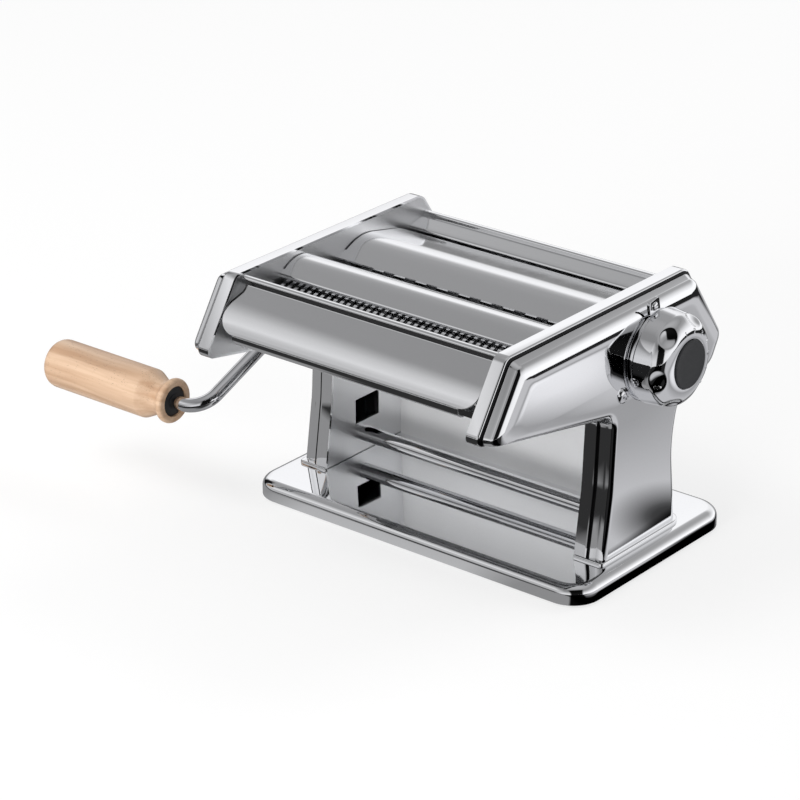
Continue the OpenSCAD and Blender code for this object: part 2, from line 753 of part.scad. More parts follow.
module fine_cutter_front() { cutter(fine_front_at, fine_w, 0, false); }
module fine_cutter_rear() { cutter(fine_rear_at, fine_w, 1, true); }
module wide_cutter_front() { cutter(wide_front_at, wide_w, 0, false); }
module wide_cutter_rear() { cutter(wide_rear_at, wide_w, 1, true); }
module fine_gear_front() { cutter_gear(fine_front_at, fine_rear_at, 0); }
module fine_gear_rear() { cutter_gear(fine_rear_at, fine_front_at, 180 / cutter_teeth); }
module wide_gear_front() { cutter_gear(wide_front_at, wide_rear_at, 0); }
module wide_gear_rear() { cutter_gear(wide_rear_at, wide_front_at, 180 / cutter_teeth); }
module fine_comb_front() { comb(fine_front_at, fine_w, 0); }
module fine_comb_rear() { comb(fine_rear_at, fine_w, 1); }
module wide_comb_front() { comb(wide_front_at, wide_w, 0); }
module wide_comb_rear() { comb(wide_rear_at, wide_w, 1); }

// Smooth rollers
module drive_roller() {
    color("silver") difference() {
        union() {
            bar(drive_at, smooth_d / 2, -roller_x, roller_x, 96);
            bar(drive_at, journal_r, -shaft_end, xp + bush_flange_t + clear);
            bar(drive_at, hub_r, -shaft_end, -smooth_gear_x - gear_t);
        }
        socket(drive_at, -shaft_end, arm_tilt);
    }
}

ring_l = 12;                  // length of an eccentric and its ring
ecc_r = 5;                    // radius of an eccentric
ring_wall = 2.9;
ring_r = ecc_r + run_gap + ring_wall;
ring_in = 3;                  // distance of the left ring from the roller's end

module gap_roller() {
    bore = setting_d / 2 + ecc + clear * 2;
    color("silver") difference() {
        union() {
            bar(gap_at, smooth_d / 2, -roller_x, roller_x, 96);
            bar(gap_at, sleeve_r, -smooth_gear_x - gear_t, 0);
        }
        bar(gap_at, bore, -xo, xi + over);
        bar(gap_at, ring_r + run_gap, roller_x - ring_l, roller_x + over);
        bar(gap_at, ring_r + run_gap, -roller_x + ring_in, -roller_x + ring_in + ring_l);
    }
}

module eccentric_rings() {
    color("goldenrod") for (a = [roller_x - ring_l, -roller_x + ring_in]) difference() {
        bar(gap_at, ring_r, a + clear, a + ring_l - clear);
        bar(gap_at, ecc_r + run_gap, a - over, a + ring_l + over);
    }
}

module setting_shaft() {
    tip = knob_x + shaft_in;
    color("gray") difference() {
        union() {
            bar(knob_at, setting_d / 2, -xc + clear, tip);
            for (a = [roller_x - ring_l, -roller_x + ring_in])
                bar(gap_at, ecc_r, a + clear, a + ring_l - clear);
        }
        translate([knob_x, knob_y - setting_d, knob_z + flat_at]) cube([tip, setting_d * 2, setting_d]);
        bar(knob_at, knob_screw_r + fit_gap, tip - knob_screw_l, tip + over);
    }
}
flat_at = setting_d * 0.3;    // distance of the knob's driving flat from the shaft's axis
knob_screw_r = 1.5;
knob_screw_l = 6;

module scraper(at, drop) {
    blade_t = 1.2;
    bar_w = 8;
    color("gray") union() {
        translate([-xi, at[0] - bar_w / 2, at[1] - drop - blade_t * 3])
            cube([gap_w, bar_w, blade_t * 2]);
        translate([-roller_x, at[0] - blade_t / 2, at[1] - drop - blade_t * 2])
            cube([roller_x * 2, blade_t, blade_t * 2]);
    }
}
scraper_gap = 0.4;
module front_scraper() { scraper(knob_at, ecc + smooth_d / 2 + scraper_gap); }
module rear_scraper() { scraper(drive_at, smooth_d / 2 + scraper_gap); }

// Dial plate behind the knob, with the index above it and an arc that holds the knob's stop pin
index_a = 10.8;               // lean of the index toward the front
index_w = 8;
index_r = 29.6;
stop_at = 18.6;               // radius of the stop pin's circle
stop_r = 1.2;
stop_a = 100;                 // place of the stop pin with the gap open, from the top toward the back

module dial_plate() {
    groove = stop_r + clear;
    groove_a = asin(groove / stop_at);
    color("silver") translate([xo, knob_y, knob_z]) rotate([0, 90, 0]) difference() {
        union() {
            cylinder(r = dial_r, h = dial_t, $fn = 96);
            rotate([0, 0, index_a]) translate([-index_r, -index_w / 2, 0]) cube([index_r, index_w, dial_t]);
        }
        translate([0, 0, -over]) cylinder(r = setting_d / 2 + clear, h = dial_t + over * 2);
        rotate([0, 0, 180 - stop_a - groove_a]) translate([0, 0, -over])
            rotate_extrude(angle = knob_turn + groove_a * 2, $fn = 96)
                translate([stop_at - groove, 0]) square([groove * 2, dial_t + over * 2]);
    }
}

// Knob turned on the X axis, open at the back, with a hub for the setting shaft
knob_wall = 5;
hub_wall = 3;
side_h = 12;                  // height of the knob's side below its round
side_draft = 1.2;             // the side leans in by this much
face_share = 0.62;            // radius of the flat face as a share of the knob's
rim_n = 8;                    // steps of the knob's round
cap_t = 2.2;
hollow_r = 8;                 // radius of the ball that cuts a finger hollow
hollow_at = 25;               // distance of that ball from the knob's axis
hollow_h = 14.5;              // place of that ball above the knob's back
hollow_a = 180 + 38;          // place of the first finger hollow
shaft_in = 6;                 // depth of the setting shaft in the knob
floor_t = 2.2;                // floor between the shaft's end and the screw's head
play = 0.1;

module knob() {
    r = knob_d / 2;
    top = r - side_draft;
    face = r * face_share;
    rim = [for (k = [0 : rim_n]) let (a = 90 * k / rim_n)
        [face + (top - face) * cos(a), side_h + (knob_h - side_h) * sin(a)]];
    hub = setting_d / 2 + hub_wall;
    color("silver") translate([knob_x, knob_y, knob_z]) rotate([0, 90, 0]) difference() {
        rotate_extrude($fn = 96) polygon(concat([[0, 0], [r, 0]], rim, [[0, knob_h]]));
        translate([0, 0, -over]) difference() {
            cylinder(r = r - knob_wall * 1.7, h = side_h - knob_wall + over);
            translate([0, 0, -over]) cylinder(r = hub, h = knob_h);
        }
        translate([0, 0, knob_h - cap_t]) cylinder(r = cap_d / 2 + fit_gap, h = cap_t + over);
        translate([0, 0, -over]) difference() {
            cylinder(r = setting_d / 2 + run_gap, h = shaft_in + play + over);
            translate([-setting_d * 1.5, -setting_d, -over])
                cube([setting_d * 1.5 - flat_at - run_gap, setting_d * 2, knob_h]);
        }
        translate([0, 0, shaft_in - over]) cylinder(r = knob_screw_r + clear, h = knob_h);
        translate([0, 0, shaft_in + floor_t]) cylinder(r = hub - clear * 2, h = knob_h);
        rotate([0, 0, 180 - stop_a]) translate([stop_at, 0, -over])
            cylinder(r = stop_r + fit_gap, h = pin_in + over);
        for (k = [0 : hollows - 1]) rotate([0, 0, hollow_a + 360 * k / hollows])
            translate([hollow_at, 0, hollow_h]) sphere(r = hollow_r, $fn = 48);
    }
}
pin_in = 3;                   // depth of the stop pin in the knob

module knob_cap() {
    color("black") bar(knob_at, cap_d / 2, knob_x + knob_h - cap_t, knob_x + knob_h, 96);
}

// Pin in the knob's back that runs in the arc of the dial plate
module stop_pin() {
    color("gray") translate([knob_x, knob_y, knob_z]) rotate([0, 90, 0]) rotate([0, 0, 180 - stop_a])
        translate([stop_at, 0, -dial_t]) cylinder(r = stop_r, h = dial_t + pin_in);
}

// Screw in the setting shaft; its head stops the knob when it is pulled
module knob_screw() {
    tip = knob_x + shaft_in;
    head = setting_d / 2 + hub_wall / 2;
    seat = tip + floor_t + knob_pull + play;
    color("gray") union() {
        bar(knob_at, knob_screw_r, tip - knob_screw_l, seat + head_t);
        bar(knob_at, head, seat, seat + head_t);
    }
}
head_t = 1.6;                 // thickness of that head

// Crank, drawn with its arm along -Y and then tilted about the driven roller's axis
crank_x = xo + arm_out;       // plane of the arm
rod_in = shaft_end - socket_l + clear * 2;
grip_face = crank_x + 17;     // the grip's neck end
grip_bore = 58;               // depth of the rod in the grip

module at_crank() { translate([0, drive_at[0], drive_at[1]]) rotate([arm_tilt, 0, 0]) children(); }

module elbow() {
    rotate_extrude(angle = 90, $fn = 96) translate([bend_r, 0]) circle(r = crank_d / 2, $fn = 48);
}

module crank_rod() {
    r = crank_d / 2;
    color("silver") at_crank() union() {
        bar([0, 0], r, -crank_x + bend_r, -rod_in);
        translate([-crank_x + bend_r, -bend_r, 0]) rotate([0, 0, 90]) elbow();
        translate([-crank_x, -bend_r, 0]) rotate([90, 0, 0]) cylinder(r = r, h = arm_l - bend_r * 2);
        translate([-crank_x - bend_r, -arm_l + bend_r, 0]) rotate([0, 0, -90]) elbow();
        bar([-arm_l, 0], r, -grip_face - grip_bore, -crank_x - bend_r);
        translate([-shaft_end + key_in, 0, 0]) rotate([90, 0, 0])
            cylinder(r = key_d / 2, h = (hub_r - key_gap) * 2, center = true);
    }
}

// Grip turned on its own axis, profile as [radius, distance from the neck end]
bush_l = 18;
bush_sleeve_r = crank_d / 2 + 1.6;
bush_recess = 1;              // the bush sits this far inside the neck
flange_l = 2.4;
module grip() {
    r = grip_d / 2;
    cr = collar_d / 2;
    neck = 8.6;
    end_r = 5.6;
    collar = bent([[cr - 2.2, 0, 0], [cr, 0, 2], [cr, 5.2, 2], [neck, 5.6, 0]], 5);
    body = bent([[neck, 8.2, 0], [r, 16, 3], [r, grip_l, end_r], [0, grip_l, 0]], 6);
    color("burlywood") at_crank() translate([-grip_face, -arm_l, 0]) rotate([0, -90, 0]) difference() {
        rotate_extrude($fn = 96) polygon(concat([[0, 0]], collar, body));
        translate([0, 0, -over]) cylinder(r = bush_d / 2 + fit_gap, h = bush_recess + flange_l + over);
        cylinder(r = bush_sleeve_r + fit_gap, h = bush_l + collar_w + clear * 3);
        cylinder(r = crank_d / 2 + run_gap, h = grip_bore + clear * 2);
    }
}

// Collar on the rod behind the bush, which keeps the grip on the crank
module grip_collar() {
    color("gray") at_crank() translate([-grip_face, -arm_l, 0]) rotate([0, -90, 0])
        translate([0, 0, bush_l + clear]) difference() {
            cylinder(r = bush_sleeve_r - clear, h = collar_w);
            translate([0, 0, -over]) cylinder(r = crank_d / 2 + fit_gap, h = collar_w + over * 2);
        }
}
collar_w = 3;

module grip_bush() {
    color("black") at_crank() translate([-grip_face, -arm_l, 0]) rotate([0, -90, 0]) difference() {
        union() {
            translate([0, 0, bush_recess]) cylinder(r = bush_d / 2, h = flange_l);
            translate([0, 0, bush_recess]) cylinder(r = bush_sleeve_r, h = bush_l - bush_recess);
        }
        translate([0, 0, -over]) cylinder(r = crank_d / 2 + run_gap, h = bush_l + over * 2);
    }
}

base_plate();
rubber_feet();
base_screws();
left_side_plate();
right_side_plate();
left_casing();
right_casing();
casing_posts();
casing_screws();
rear_panel();
tie_bar();
head_rods();
rod_nuts();
front_plate();
front_cover();
middle_cover();
hopper_plate();
cutter_bushes();
drive_bushes();
setting_bushes();
fine_comb_front();
fine_comb_rear();
wide_comb_front();
wide_comb_rear();
front_scraper();
rear_scraper();
dial_plate();
drive_roller();
drive_gear();
crank_rod();
grip_collar();
grip();
grip_bush();
setting_shaft();
knob();
knob_cap();
stop_pin();
knob_screw();
eccentric_rings();
gap_roller();
gap_gear();
fine_cutter_front();
fine_gear_front();
fine_cutter_rear();
fine_gear_rear();
wide_cutter_front();
wide_gear_front();
wide_cutter_rear();
wide_gear_rear();
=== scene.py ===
import math

import bmesh
import bpy
from mathutils import Matrix, Vector
from mathutils.geometry import tessellate_polygon


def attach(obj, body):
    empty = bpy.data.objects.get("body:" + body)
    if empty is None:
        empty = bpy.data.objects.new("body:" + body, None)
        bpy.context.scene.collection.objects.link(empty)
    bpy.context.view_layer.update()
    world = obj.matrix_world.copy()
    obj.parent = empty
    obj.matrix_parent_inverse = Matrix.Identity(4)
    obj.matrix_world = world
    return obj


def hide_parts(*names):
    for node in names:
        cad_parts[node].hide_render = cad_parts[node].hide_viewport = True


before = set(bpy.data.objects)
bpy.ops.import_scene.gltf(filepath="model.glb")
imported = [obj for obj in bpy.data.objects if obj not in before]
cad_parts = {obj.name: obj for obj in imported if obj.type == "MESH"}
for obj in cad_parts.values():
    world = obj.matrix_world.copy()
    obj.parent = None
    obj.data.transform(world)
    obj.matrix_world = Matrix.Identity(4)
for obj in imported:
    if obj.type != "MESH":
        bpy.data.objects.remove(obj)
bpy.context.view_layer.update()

# ---- Base tray
# The machine stands on a tray that is pressed from mirror chromed steel sheet. Its top edge is
# rolled over into a low skirt, the corners are round in plan, and the underside is open.
base_length, base_width, base_top, skirt_foot = 200.0, 122.0, 10.0, 0.8
base_corner, least_corner, base_sheet, skirt_bevel = 15.0, 0.6, 1.5, 0.3
roll_in, roll_drop, roll_steps = 5.4, 4.6, 16


def round_corner(before, at, after, radius, steps):
    """Points of the arc that rounds one corner of a path."""
    come, go = (at - before).normalized(), (after - at).normalized()
    turn = math.atan2(come.x * go.y - come.y * go.x, come.dot(go))
    start = at - come * abs(radius * math.tan(turn / 2))
    middle = start + Vector((-come.y, come.x)) * radius * math.copysign(1, turn)
    arm = start - middle
    return [middle + Matrix.Rotation(turn * k / steps, 2) @ arm for k in range(steps + 1)]


def closed_outline(corners, steps):
    """Closed outline through corners (u, v, radius)."""
    spots = [Vector(c[:2]) for c in corners]
    count = len(spots)
    points = []
    for i, corner in enumerate(corners):
        points += round_corner(spots[i - 1], spots[i], spots[(i + 1) % count], corner[2], steps)
    return points


def open_path(corners, steps):
    """Open path through corners (u, v, radius); the first and the last stay sharp."""
    spots = [Vector(c[:2]) for c in corners]
    points = [spots[0]]
    for i in range(1, len(spots) - 1):
        points += round_corner(spots[i - 1], spots[i], spots[i + 1], corners[i][2], steps)
    return points + [spots[-1]]


def rings_to_faces(count, rings, first=0, caps=(), loop=False):
    """Quads between rings of equal count, and one face over each ring that caps names."""
    faces = []
    for k in range(rings if loop else rings - 1):
        low, high = first + k * count, first + (k + 1) % rings * count
        faces += [(low + j, low + (j + 1) % count, high + (j + 1) % count, high + j)
                  for j in range(count)]
    starts = [first + cap % rings * count for cap in caps]
    return faces + [tuple(range(start, start + count)) for start in starts]


def make_piece(name, points, faces, material, body, slot, stands_for=(), sharp=32):
    """Mesh piece from points in millimetres, smooth but for edges sharper than that angle."""
    mesh = bpy.data.meshes.new(name)
    mesh.from_pydata([Vector(p) * 0.001 for p in points], [], faces)
    work = bmesh.new()
    work.from_mesh(mesh)
    bmesh.ops.recalc_face_normals(work, faces=work.faces)
    work.to_mesh(mesh)
    work.free()
    mesh.shade_smooth()
    mesh.set_sharp_from_angle(angle=math.radians(sharp))
    mesh.materials.append(material)
    piece = bpy.data.objects.new(name, mesh)
    bpy.context.scene.collection.objects.link(piece)
    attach(piece, body)
    if stands_for:
        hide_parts(*stands_for)
    return piece


def lead(tree, node, values):
    """Link or set sockets of a node, by name or number."""
    for socket, value in values.items():
        if isinstance(value, bpy.types.NodeSocket):
            tree.links.new(value, node.inputs[socket])
        else:
            node.inputs[socket].default_value = value


def wire(tree, kind, values=None, **settings):
    """New node of that kind, with its settings and its sockets linked or set."""
    node = tree.nodes.new(kind)
    for key, value in settings.items():
        setattr(node, key, value)
    lead(tree, node, values or {})
    return node


def object_place(tree):
    """Place on the object, in metres."""
    return wire(tree, "ShaderNodeTexCoord").outputs["Object"]


def noise(tree, place, scale, detail, roughness=0.5):
    """Noise over a place, as Fac and as Color."""
    return wire(tree, "ShaderNodeTexNoise", {"Vector": place, "Scale": scale, "Detail": detail,
                                             "Roughness": roughness}).outputs


def span(tree, value, low, high, start=0.0, end=1.0):
    """Start to end, as the value goes from low to high."""
    return wire(tree, "ShaderNodeMapRange", {"Value": value, "From Min": low, "From Max": high,
                                             "To Min": start, "To Max": end}).outputs[0]


def number_math(tree, operation, *numbers, clamp=False):
    """Result of a sum on numbers."""
    return wire(tree, "ShaderNodeMath", dict(enumerate(numbers)), operation=operation,
                use_clamp=clamp).outputs[0]


def vector_math(tree, operation, first, second=(0, 0, 0)):
    """Result of a sum on vectors or colours, as Vector or Value; SCALE takes a number second."""
    return wire(tree, "ShaderNodeVectorMath", {0: first, 3 if operation == "SCALE" else 1: second},
                operation=operation).outputs


def finish_group(name, **inputs):
    """Empty node group for a finish; its inputs are numbers or colours with these defaults."""
    group = bpy.data.node_groups.new(name, "ShaderNodeTree")
    for label, value in inputs.items():
        kind = "NodeSocketFloat" if isinstance(value, float) else "NodeSocketColor"
        group.interface.new_socket(label, in_out="INPUT", socket_type=kind).default_value = value
    for label, kind in (("Color", "NodeSocketColor"), ("Roughness", "NodeSocketFloat"),
                        ("Height", "NodeSocketFloat")):
        group.interface.new_socket(label, in_out="OUTPUT", socket_type=kind)
    return group, group.nodes.new("NodeGroupInput").outputs, group.nodes.new("NodeGroupOutput")


# Polished plating: faint haze where it was wiped, tiny pits, and the slight waves of pressed sheet
polish, polish_in, polish_out = finish_group("polished_plating", Smooth=0.04, Hazy=0.1, Waves=1.0,
                                             Tone=(0.8, 0.8, 0.8, 1))
polish_place = object_place(polish)
wiped = span(polish, noise(polish, polish_place, 45.0, 5.0, 0.6)["Fac"], 0.42, 0.68)
pitted = span(polish, noise(polish, polish_place, 900.0, 2.0)["Fac"], 0.3, 0.7, 0.985, 1.0)
swell = noise(polish, polish_place, 14.0, 1.0)["Fac"]
lead(polish, polish_out, {
    "Color": vector_math(polish, "SCALE", polish_in["Tone"], pitted)["Vector"],
    "Roughness": wire(polish, "ShaderNodeMix", {0: wiped, 2: polish_in["Smooth"],
                                                3: polish_in["Hazy"]}).outputs[0],
    "Height": number_math(polish, "MULTIPLY", swell, polish_in["Waves"])})


def new_material(name):
    """Material and its node tree."""
    material = bpy.data.materials.new(name)
    material.use_nodes = True
    return material, material.node_tree


def surface(tree, color, rough, height, depth, more=None):
    """Give the shader its colour, its roughness and a relief of that depth in metres."""
    bump = wire(tree, "ShaderNodeBump", {"Height": height, "Distance": depth}).outputs["Normal"]
    lead(tree, tree.nodes["Principled BSDF"],
         {"Base Color": color, "Roughness": rough, "Normal": bump, **(more or {})})


def metal(name, finish, depth, metallic, **values):
    """Metal with a finish group, whose inputs take the values."""
    material, tree = new_material(name)
    look = wire(tree, "ShaderNodeGroup", values, node_tree=finish).outputs
    surface(tree, look["Color"], look["Roughness"], look["Height"], depth, {"Metallic": metallic})
    return material


def plated(name, tone, smooth, hazy, waves, depth=0.0002, metallic=1.0):
    """Chromed or polished metal; a satin sheet is less than fully mirroring."""
    return metal(name, polish, depth, metallic, Smooth=smooth, Hazy=hazy, Waves=waves,
                 Tone=(*tone, 1))


base_chrome = plated("base_chrome", (0.9, 0.905, 0.915), 0.03, 0.06, 0.6)


def base_ring(inset, height):
    """Outline of the tray at that distance in from its side and at that height."""
    x, y, r = base_length / 2 - inset, base_width / 2 - inset, max(base_corner - inset, least_corner)
    corners = [(-x, -y, r), (x, -y, r), (x, y, r), (-x, y, r)]
    return [(p.x, p.y, height) for p in closed_outline(corners, steps=18)]


def rolled_edge(wall):
    """Outlines up the rolled edge, on the face of the sheet that lies that far inside."""
    angles = [math.radians(90 * k / roll_steps) for k in range(roll_steps + 1)]
    return [base_ring(wall + roll_in * (1 - math.cos(a)),
                      base_top - wall - roll_drop * (1 - math.sin(a))) for a in angles]


tray_rings = rolled_edge(base_sheet)[::-1]
tray_rings += [base_ring(base_sheet, skirt_foot + skirt_bevel),
               base_ring(base_sheet - skirt_bevel, skirt_foot),
               base_ring(skirt_bevel, skirt_foot), base_ring(0, skirt_foot + skirt_bevel)]
tray_rings += rolled_edge(0)
tray_faces = rings_to_faces(len(tray_rings[0]), len(tray_rings), caps=(0, -1))
make_piece("base_tray", [p for ring in tray_rings for p in ring], tray_faces, base_chrome,
           "frame", "chrome", ["base_plate"])

# ---- Rubber feet and base screws
# Four round feet are moulded from black rubber and pushed into the tray's underside. Four plain
# steel screws come up through the tray into the lugs of the side plates.


def blend(tree, share, start, end):
    """Colour from start to end by that share."""
    return wire(tree, "ShaderNodeMix", {0: share, 6: start, 7: end}, data_type="RGBA").outputs[2]


def moulded(name, grain_scale, grain_detail, wear_scale, dark, pale, rough_dark, rough_pale, depth):
    """Black rubber or plastic with a fine grain, a little paler where it is worn."""
    material, tree = new_material(name)
    place = object_place(tree)
    grain = noise(tree, place, grain_scale, grain_detail)["Fac"]
    wear = noise(tree, place, wear_scale, 4.0)["Fac"]
    surface(tree, blend(tree, wear, (*dark, 1), (*pale, 1)),
            span(tree, wear, 0.0, 1.0, rough_dark, rough_pale), grain, depth)
    return material


def dress(material, *names):
    """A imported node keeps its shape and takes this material."""
    for name in names:
        for material_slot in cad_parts[name].material_slots:
            material_slot.material = material


rubber = moulded("foot_rubber", 1400.0, 3.0, 120.0, (0.018, 0.018, 0.019), (0.05, 0.049, 0.047),
                 0.6, 0.85, 0.00008)
dress(rubber, "rubber_feet")
turned_zinc = plated("turned_zinc", (0.62, 0.62, 0.63), 0.22, 0.36, 0.2)
dress(turned_zinc, "base_screws")

# ---- Side plates, back panel, tie bar and head rods
# Two flat plates of satin steel carry all rollers, and a paler satin panel closes the back between
# them. A round chromed bar ties their feet, and three thin rods with nuts brace the head.
plate_steel = plated("plate_steel", (0.92, 0.925, 0.935), 0.3, 0.38, 0.3)
dress(plate_steel, "left_side_plate", "right_side_plate")
satin_steel = plated("satin_steel", (0.93, 0.935, 0.945), 0.34, 0.42, 0.2, metallic=0.35)
dress(satin_steel, "rear_panel")
bar_chrome = plated("bar_chrome", (0.85, 0.855, 0.87), 0.03, 0.07, 0.1)
dress(bar_chrome, "tie_bar")
dress(turned_zinc, "head_rods", "rod_nuts", "casing_posts")

# ---- Bushes
# Sintered bronze bushes sit in the side plates. They carry the journals of the rollers and the
# setting shaft.
bronze = plated("sintered_bronze", (0.55, 0.4, 0.2), 0.38, 0.55, 0.1)
dress(bronze, "cutter_bushes", "drive_bushes", "setting_bushes")

# ---- Combs and scrapers
# Steel combs clear the grooves of the cutters, and steel blades wipe the smooth rollers from
# below.
blade_steel = plated("blade_steel", (0.6, 0.61, 0.62), 0.18, 0.3, 0.3)
dress(blade_steel, "fine_comb_front", "fine_comb_rear", "wide_comb_front", "wide_comb_rear",
      "front_scraper", "rear_scraper")

# ---- Cutter pairs
# Each cutter is turned from one steel bar: discs with grooves between them, and the discs of one
# roller run in the grooves of the other. The lathe leaves fine rings round the steel.
turning, turning_in, turning_out = finish_group("turning_rings", Smooth=0.2, Hazy=0.35,
                                                Tone=(0.7, 0.7, 0.7, 1))
turning_place = object_place(turning)
turning_stretch = wire(turning, "ShaderNodeMapping",
                       {"Vector": turning_place, "Scale": (2600.0, 25.0, 25.0)}).outputs[0]
turning_lines = noise(turning, turning_stretch, 1.0, 3.0)["Fac"]
stained = span(turning, noise(turning, turning_place, 160.0, 4.0)["Fac"], 0.3, 0.7, 0.84, 1.0)
lead(turning, turning_out, {
    "Color": vector_math(turning, "SCALE", turning_in["Tone"], stained)["Vector"],
    "Roughness": wire(turning, "ShaderNodeMix", {0: turning_lines, 2: turning_in["Smooth"],
                                                 3: turning_in["Hazy"]}).outputs[0],
    "Height": turning_lines})


def lathed(name, tone, smooth, hazy, depth):
    """Steel turned on the X axis."""
    return metal(name, turning, depth, 1.0, Smooth=smooth, Hazy=hazy, Tone=(*tone, 1))


cutter_steel = lathed("cutter_steel", (0.93, 0.935, 0.945), 0.16, 0.3, 0.00002)
dress(cutter_steel, "fine_cutter_front", "fine_cutter_rear", "wide_cutter_front", "wide_cutter_rear")

# ---- Smooth rollers
# The two smooth rollers are ground and polished steel tubes on plain journals. Only the finest
# rings are left on them.
roller_steel = lathed("roller_steel", (0.8, 0.805, 0.82), 0.05, 0.11, 0.000004)
dress(roller_steel, "drive_roller", "gap_roller")

# ---- Gears and setting parts
# Steel gears at the left end of every roller pair, and the shaft with two eccentrics that moves the
# adjustable roller. The rings on the eccentrics are bronze.
gear_steel = plated("gear_steel", (0.5, 0.5, 0.51), 0.25, 0.42, 0.1)
dress(gear_steel, "drive_gear", "gap_gear", "fine_gear_front", "fine_gear_rear", "wide_gear_front",
      "wide_gear_rear", "grip_collar", "setting_shaft", "stop_pin", "knob_screw")
dress(bronze, "eccentric_rings")

# ---- Side casings
# Each side is covered by a casing drawn from chromed sheet: a flat rim, a groove, a sloping band and
# a large round up to the flat outer face. A narrow flange at its foot stands on the base.
plate_face, casing_depth, casing_sheet, hole_steps = 75.5, 15.8, 1.2, 48
casing_face = plate_face + casing_depth
casing_corners = [
    (-32.4, 10, 0.6), (33, 10, 0.6), (28.5, 52, 60), (33, 74, 14), (60, 80, 12), (69.2, 96.2, 7),
    (43.8, 133, 8), (-94.6, 133, 5.5), (-117.5, 97.6, 4), (-25.4, 80.2, 5), (-27.3, 45, 80)]
# For each side of the outline, its share of the band's draft and of the round's draft
band_share = [0, 0.95, 0.95, 0.9, 1, 1, 1, 1, 0.35, 0.5, 0.5]
round_share = [0, 0.5, 0.5, 0.5, 0.8, 1, 1, 1, 0.45, 0.26, 0.26]
# For each corner, how much its radius grows with the round's draft
corner_gain = [0, 0, 0, 0, 0, 0, 0.7, 0.7, 0.7, 0, 0]
rim_width, groove_depth, groove_width, band_width, band_rise, round_rise = 6.5, 2.0, 1.6, 2.6, 1.3, 10.7
band_draft = groove_depth + band_rise
casing_chrome = plated("casing_chrome", (0.9, 0.905, 0.915), 0.03, 0.06, 1.0, 0.0003)
# Near black chrome for the faces in the casing groove: painted shade along the groove.
groove_painted_shade = plated("groove_painted_shade", (0.02, 0.02, 0.021), 0.3, 0.5, 0.2)


def casing_ring(draft, wall, x):
    """Outline of the casing, drawn in by the draft and the wall, at that x."""
    spots = [Vector(c[:2]) for c in casing_corners]
    low, high = min(draft, band_draft), max(draft - band_draft, 0)
    move = [a * low + b * high + wall for a, b in zip(band_share, round_share)]
    move[0] = -wall
    corners = []
    for i, spot in enumerate(spots):
        after = spots[(i + 1) % len(spots)]
        come, go = (spot - spots[i - 1]).normalized(), (after - spot).normalized()
        a = spot + Vector((-come.y, come.x)) * move[i - 1]
        b = spot + Vector((-go.y, go.x)) * move[i]
        bend = come.x * go.y - come.y * go.x
        step = b - a
        corner = a + come * ((step.x * go.y - step.y * go.x) / bend)
        mean = (move[i] + move[i - 1]) / 2
        radius = casing_corners[i][2]
        radius = max(radius - mean / 2, least_corner) if bend > 0 else radius + mean
        corners.append((corner.x, corner.y, radius + corner_gain[i] * high))
    return [(x, p.x, p.y) for p in closed_outline(corners, steps=14)]


# The casing from its rim to its outer face, as (distance out from the side plate, draft)
band_start = rim_width + groove_width
band_end = band_start + band_width
profile = open_path([
    (0, 0, 0), (rim_width, 0, 1.1), (rim_width + groove_width / 2, groove_depth, 0.5),
    (band_start, groove_depth, 0.5), (band_end, band_draft, 0)], steps=4)
groove_rows, round_rows = (5, 11), 18
for k in range(1, round_rows + 1):
    a = math.radians(90 * k / round_rows)
    profile.append(Vector((band_end + (casing_depth - band_end) * math.sin(a),
                           band_draft + round_rise * (1 - math.cos(a)))))
foot_outline = [(75.5, -32.9, 0.3), (92.3, -32.9, 2.2), (92.3, 34, 9), (82, 34, 1), (75.5, 34, 0.3)]
foot_x, foot_y, foot_half_x, foot_half_y = 84, 0.5, 8.3, 33.4
foot_rows = ((0, 10), (0, 10.9), (0.12, 11.3), (0.35, 11.52), (0.7, 11.6))


def circle(radius, y, z, x, steps):
    """Round edge in a plane of constant x."""
    angles = [2 * math.pi * k / steps for k in range(steps)]
    return [(x, y + radius * math.cos(a), z + radius * math.sin(a)) for a in angles]


def casing(name, side, holes, node):
    """Shell of a side casing; side is 1 for the knob side and -1 for the crank side."""
    inner_share = (casing_depth - casing_sheet) / casing_depth
    rings = [casing_ring(p.y, casing_sheet, plate_face + p.x * inner_share) for p in reversed(profile)]
    rings += [casing_ring(p.y, 0, plate_face + p.x) for p in profile]
    count, total = len(rings[0]), len(rings)
    points = [p for ring in rings for p in ring]
    faces = rings_to_faces(count, total)
    for ring, x in ((0, casing_face - casing_sheet), (total - 1, casing_face)):
        rims = [circle(r, y, z, x, hole_steps) for y, z, r in holes]
        spots = list(range(ring * count, (ring + 1) * count))
        spots += range(len(points), len(points) + len(rims) * hole_steps)
        points += [p for rim in rims for p in rim]
        loops = [[Vector(p) for p in loop] for loop in [rings[ring]] + rims]
        faces += [tuple(spots[i] for i in triangle) for triangle in tessellate_polygon(loops)]
    for hole in range(len(holes)):
        low = total * count + hole * hole_steps
        high = low + len(holes) * hole_steps
        faces += [(low + j, low + (j + 1) % hole_steps, high + (j + 1) % hole_steps, high + j)
                  for j in range(hole_steps)]
    foot = closed_outline(foot_outline, steps=8)
    first = len(points)
    for inset, z in foot_rows:
        keep_x, keep_y = 1 - inset / foot_half_x, 1 - inset / foot_half_y
        points += [(foot_x + (p.x - foot_x) * keep_x, foot_y + (p.y - foot_y) * keep_y, z) for p in foot]
    faces += rings_to_faces(len(foot), len(foot_rows), first, caps=(0, -1))
    points = [(side * x, y, z) for x, y, z in points]
    piece = make_piece(name, points, faces, casing_chrome, "frame", "chrome", [node], sharp=38)
    # The groove faces take the near black material, which paints shade into the groove.
    piece.data.materials.append(groove_painted_shade)
    groove_first, groove_last = [(total // 2 + row) * count for row in groove_rows]
    for polygon in piece.data.polygons[groove_first:groove_last]:
        polygon.material_index = 1


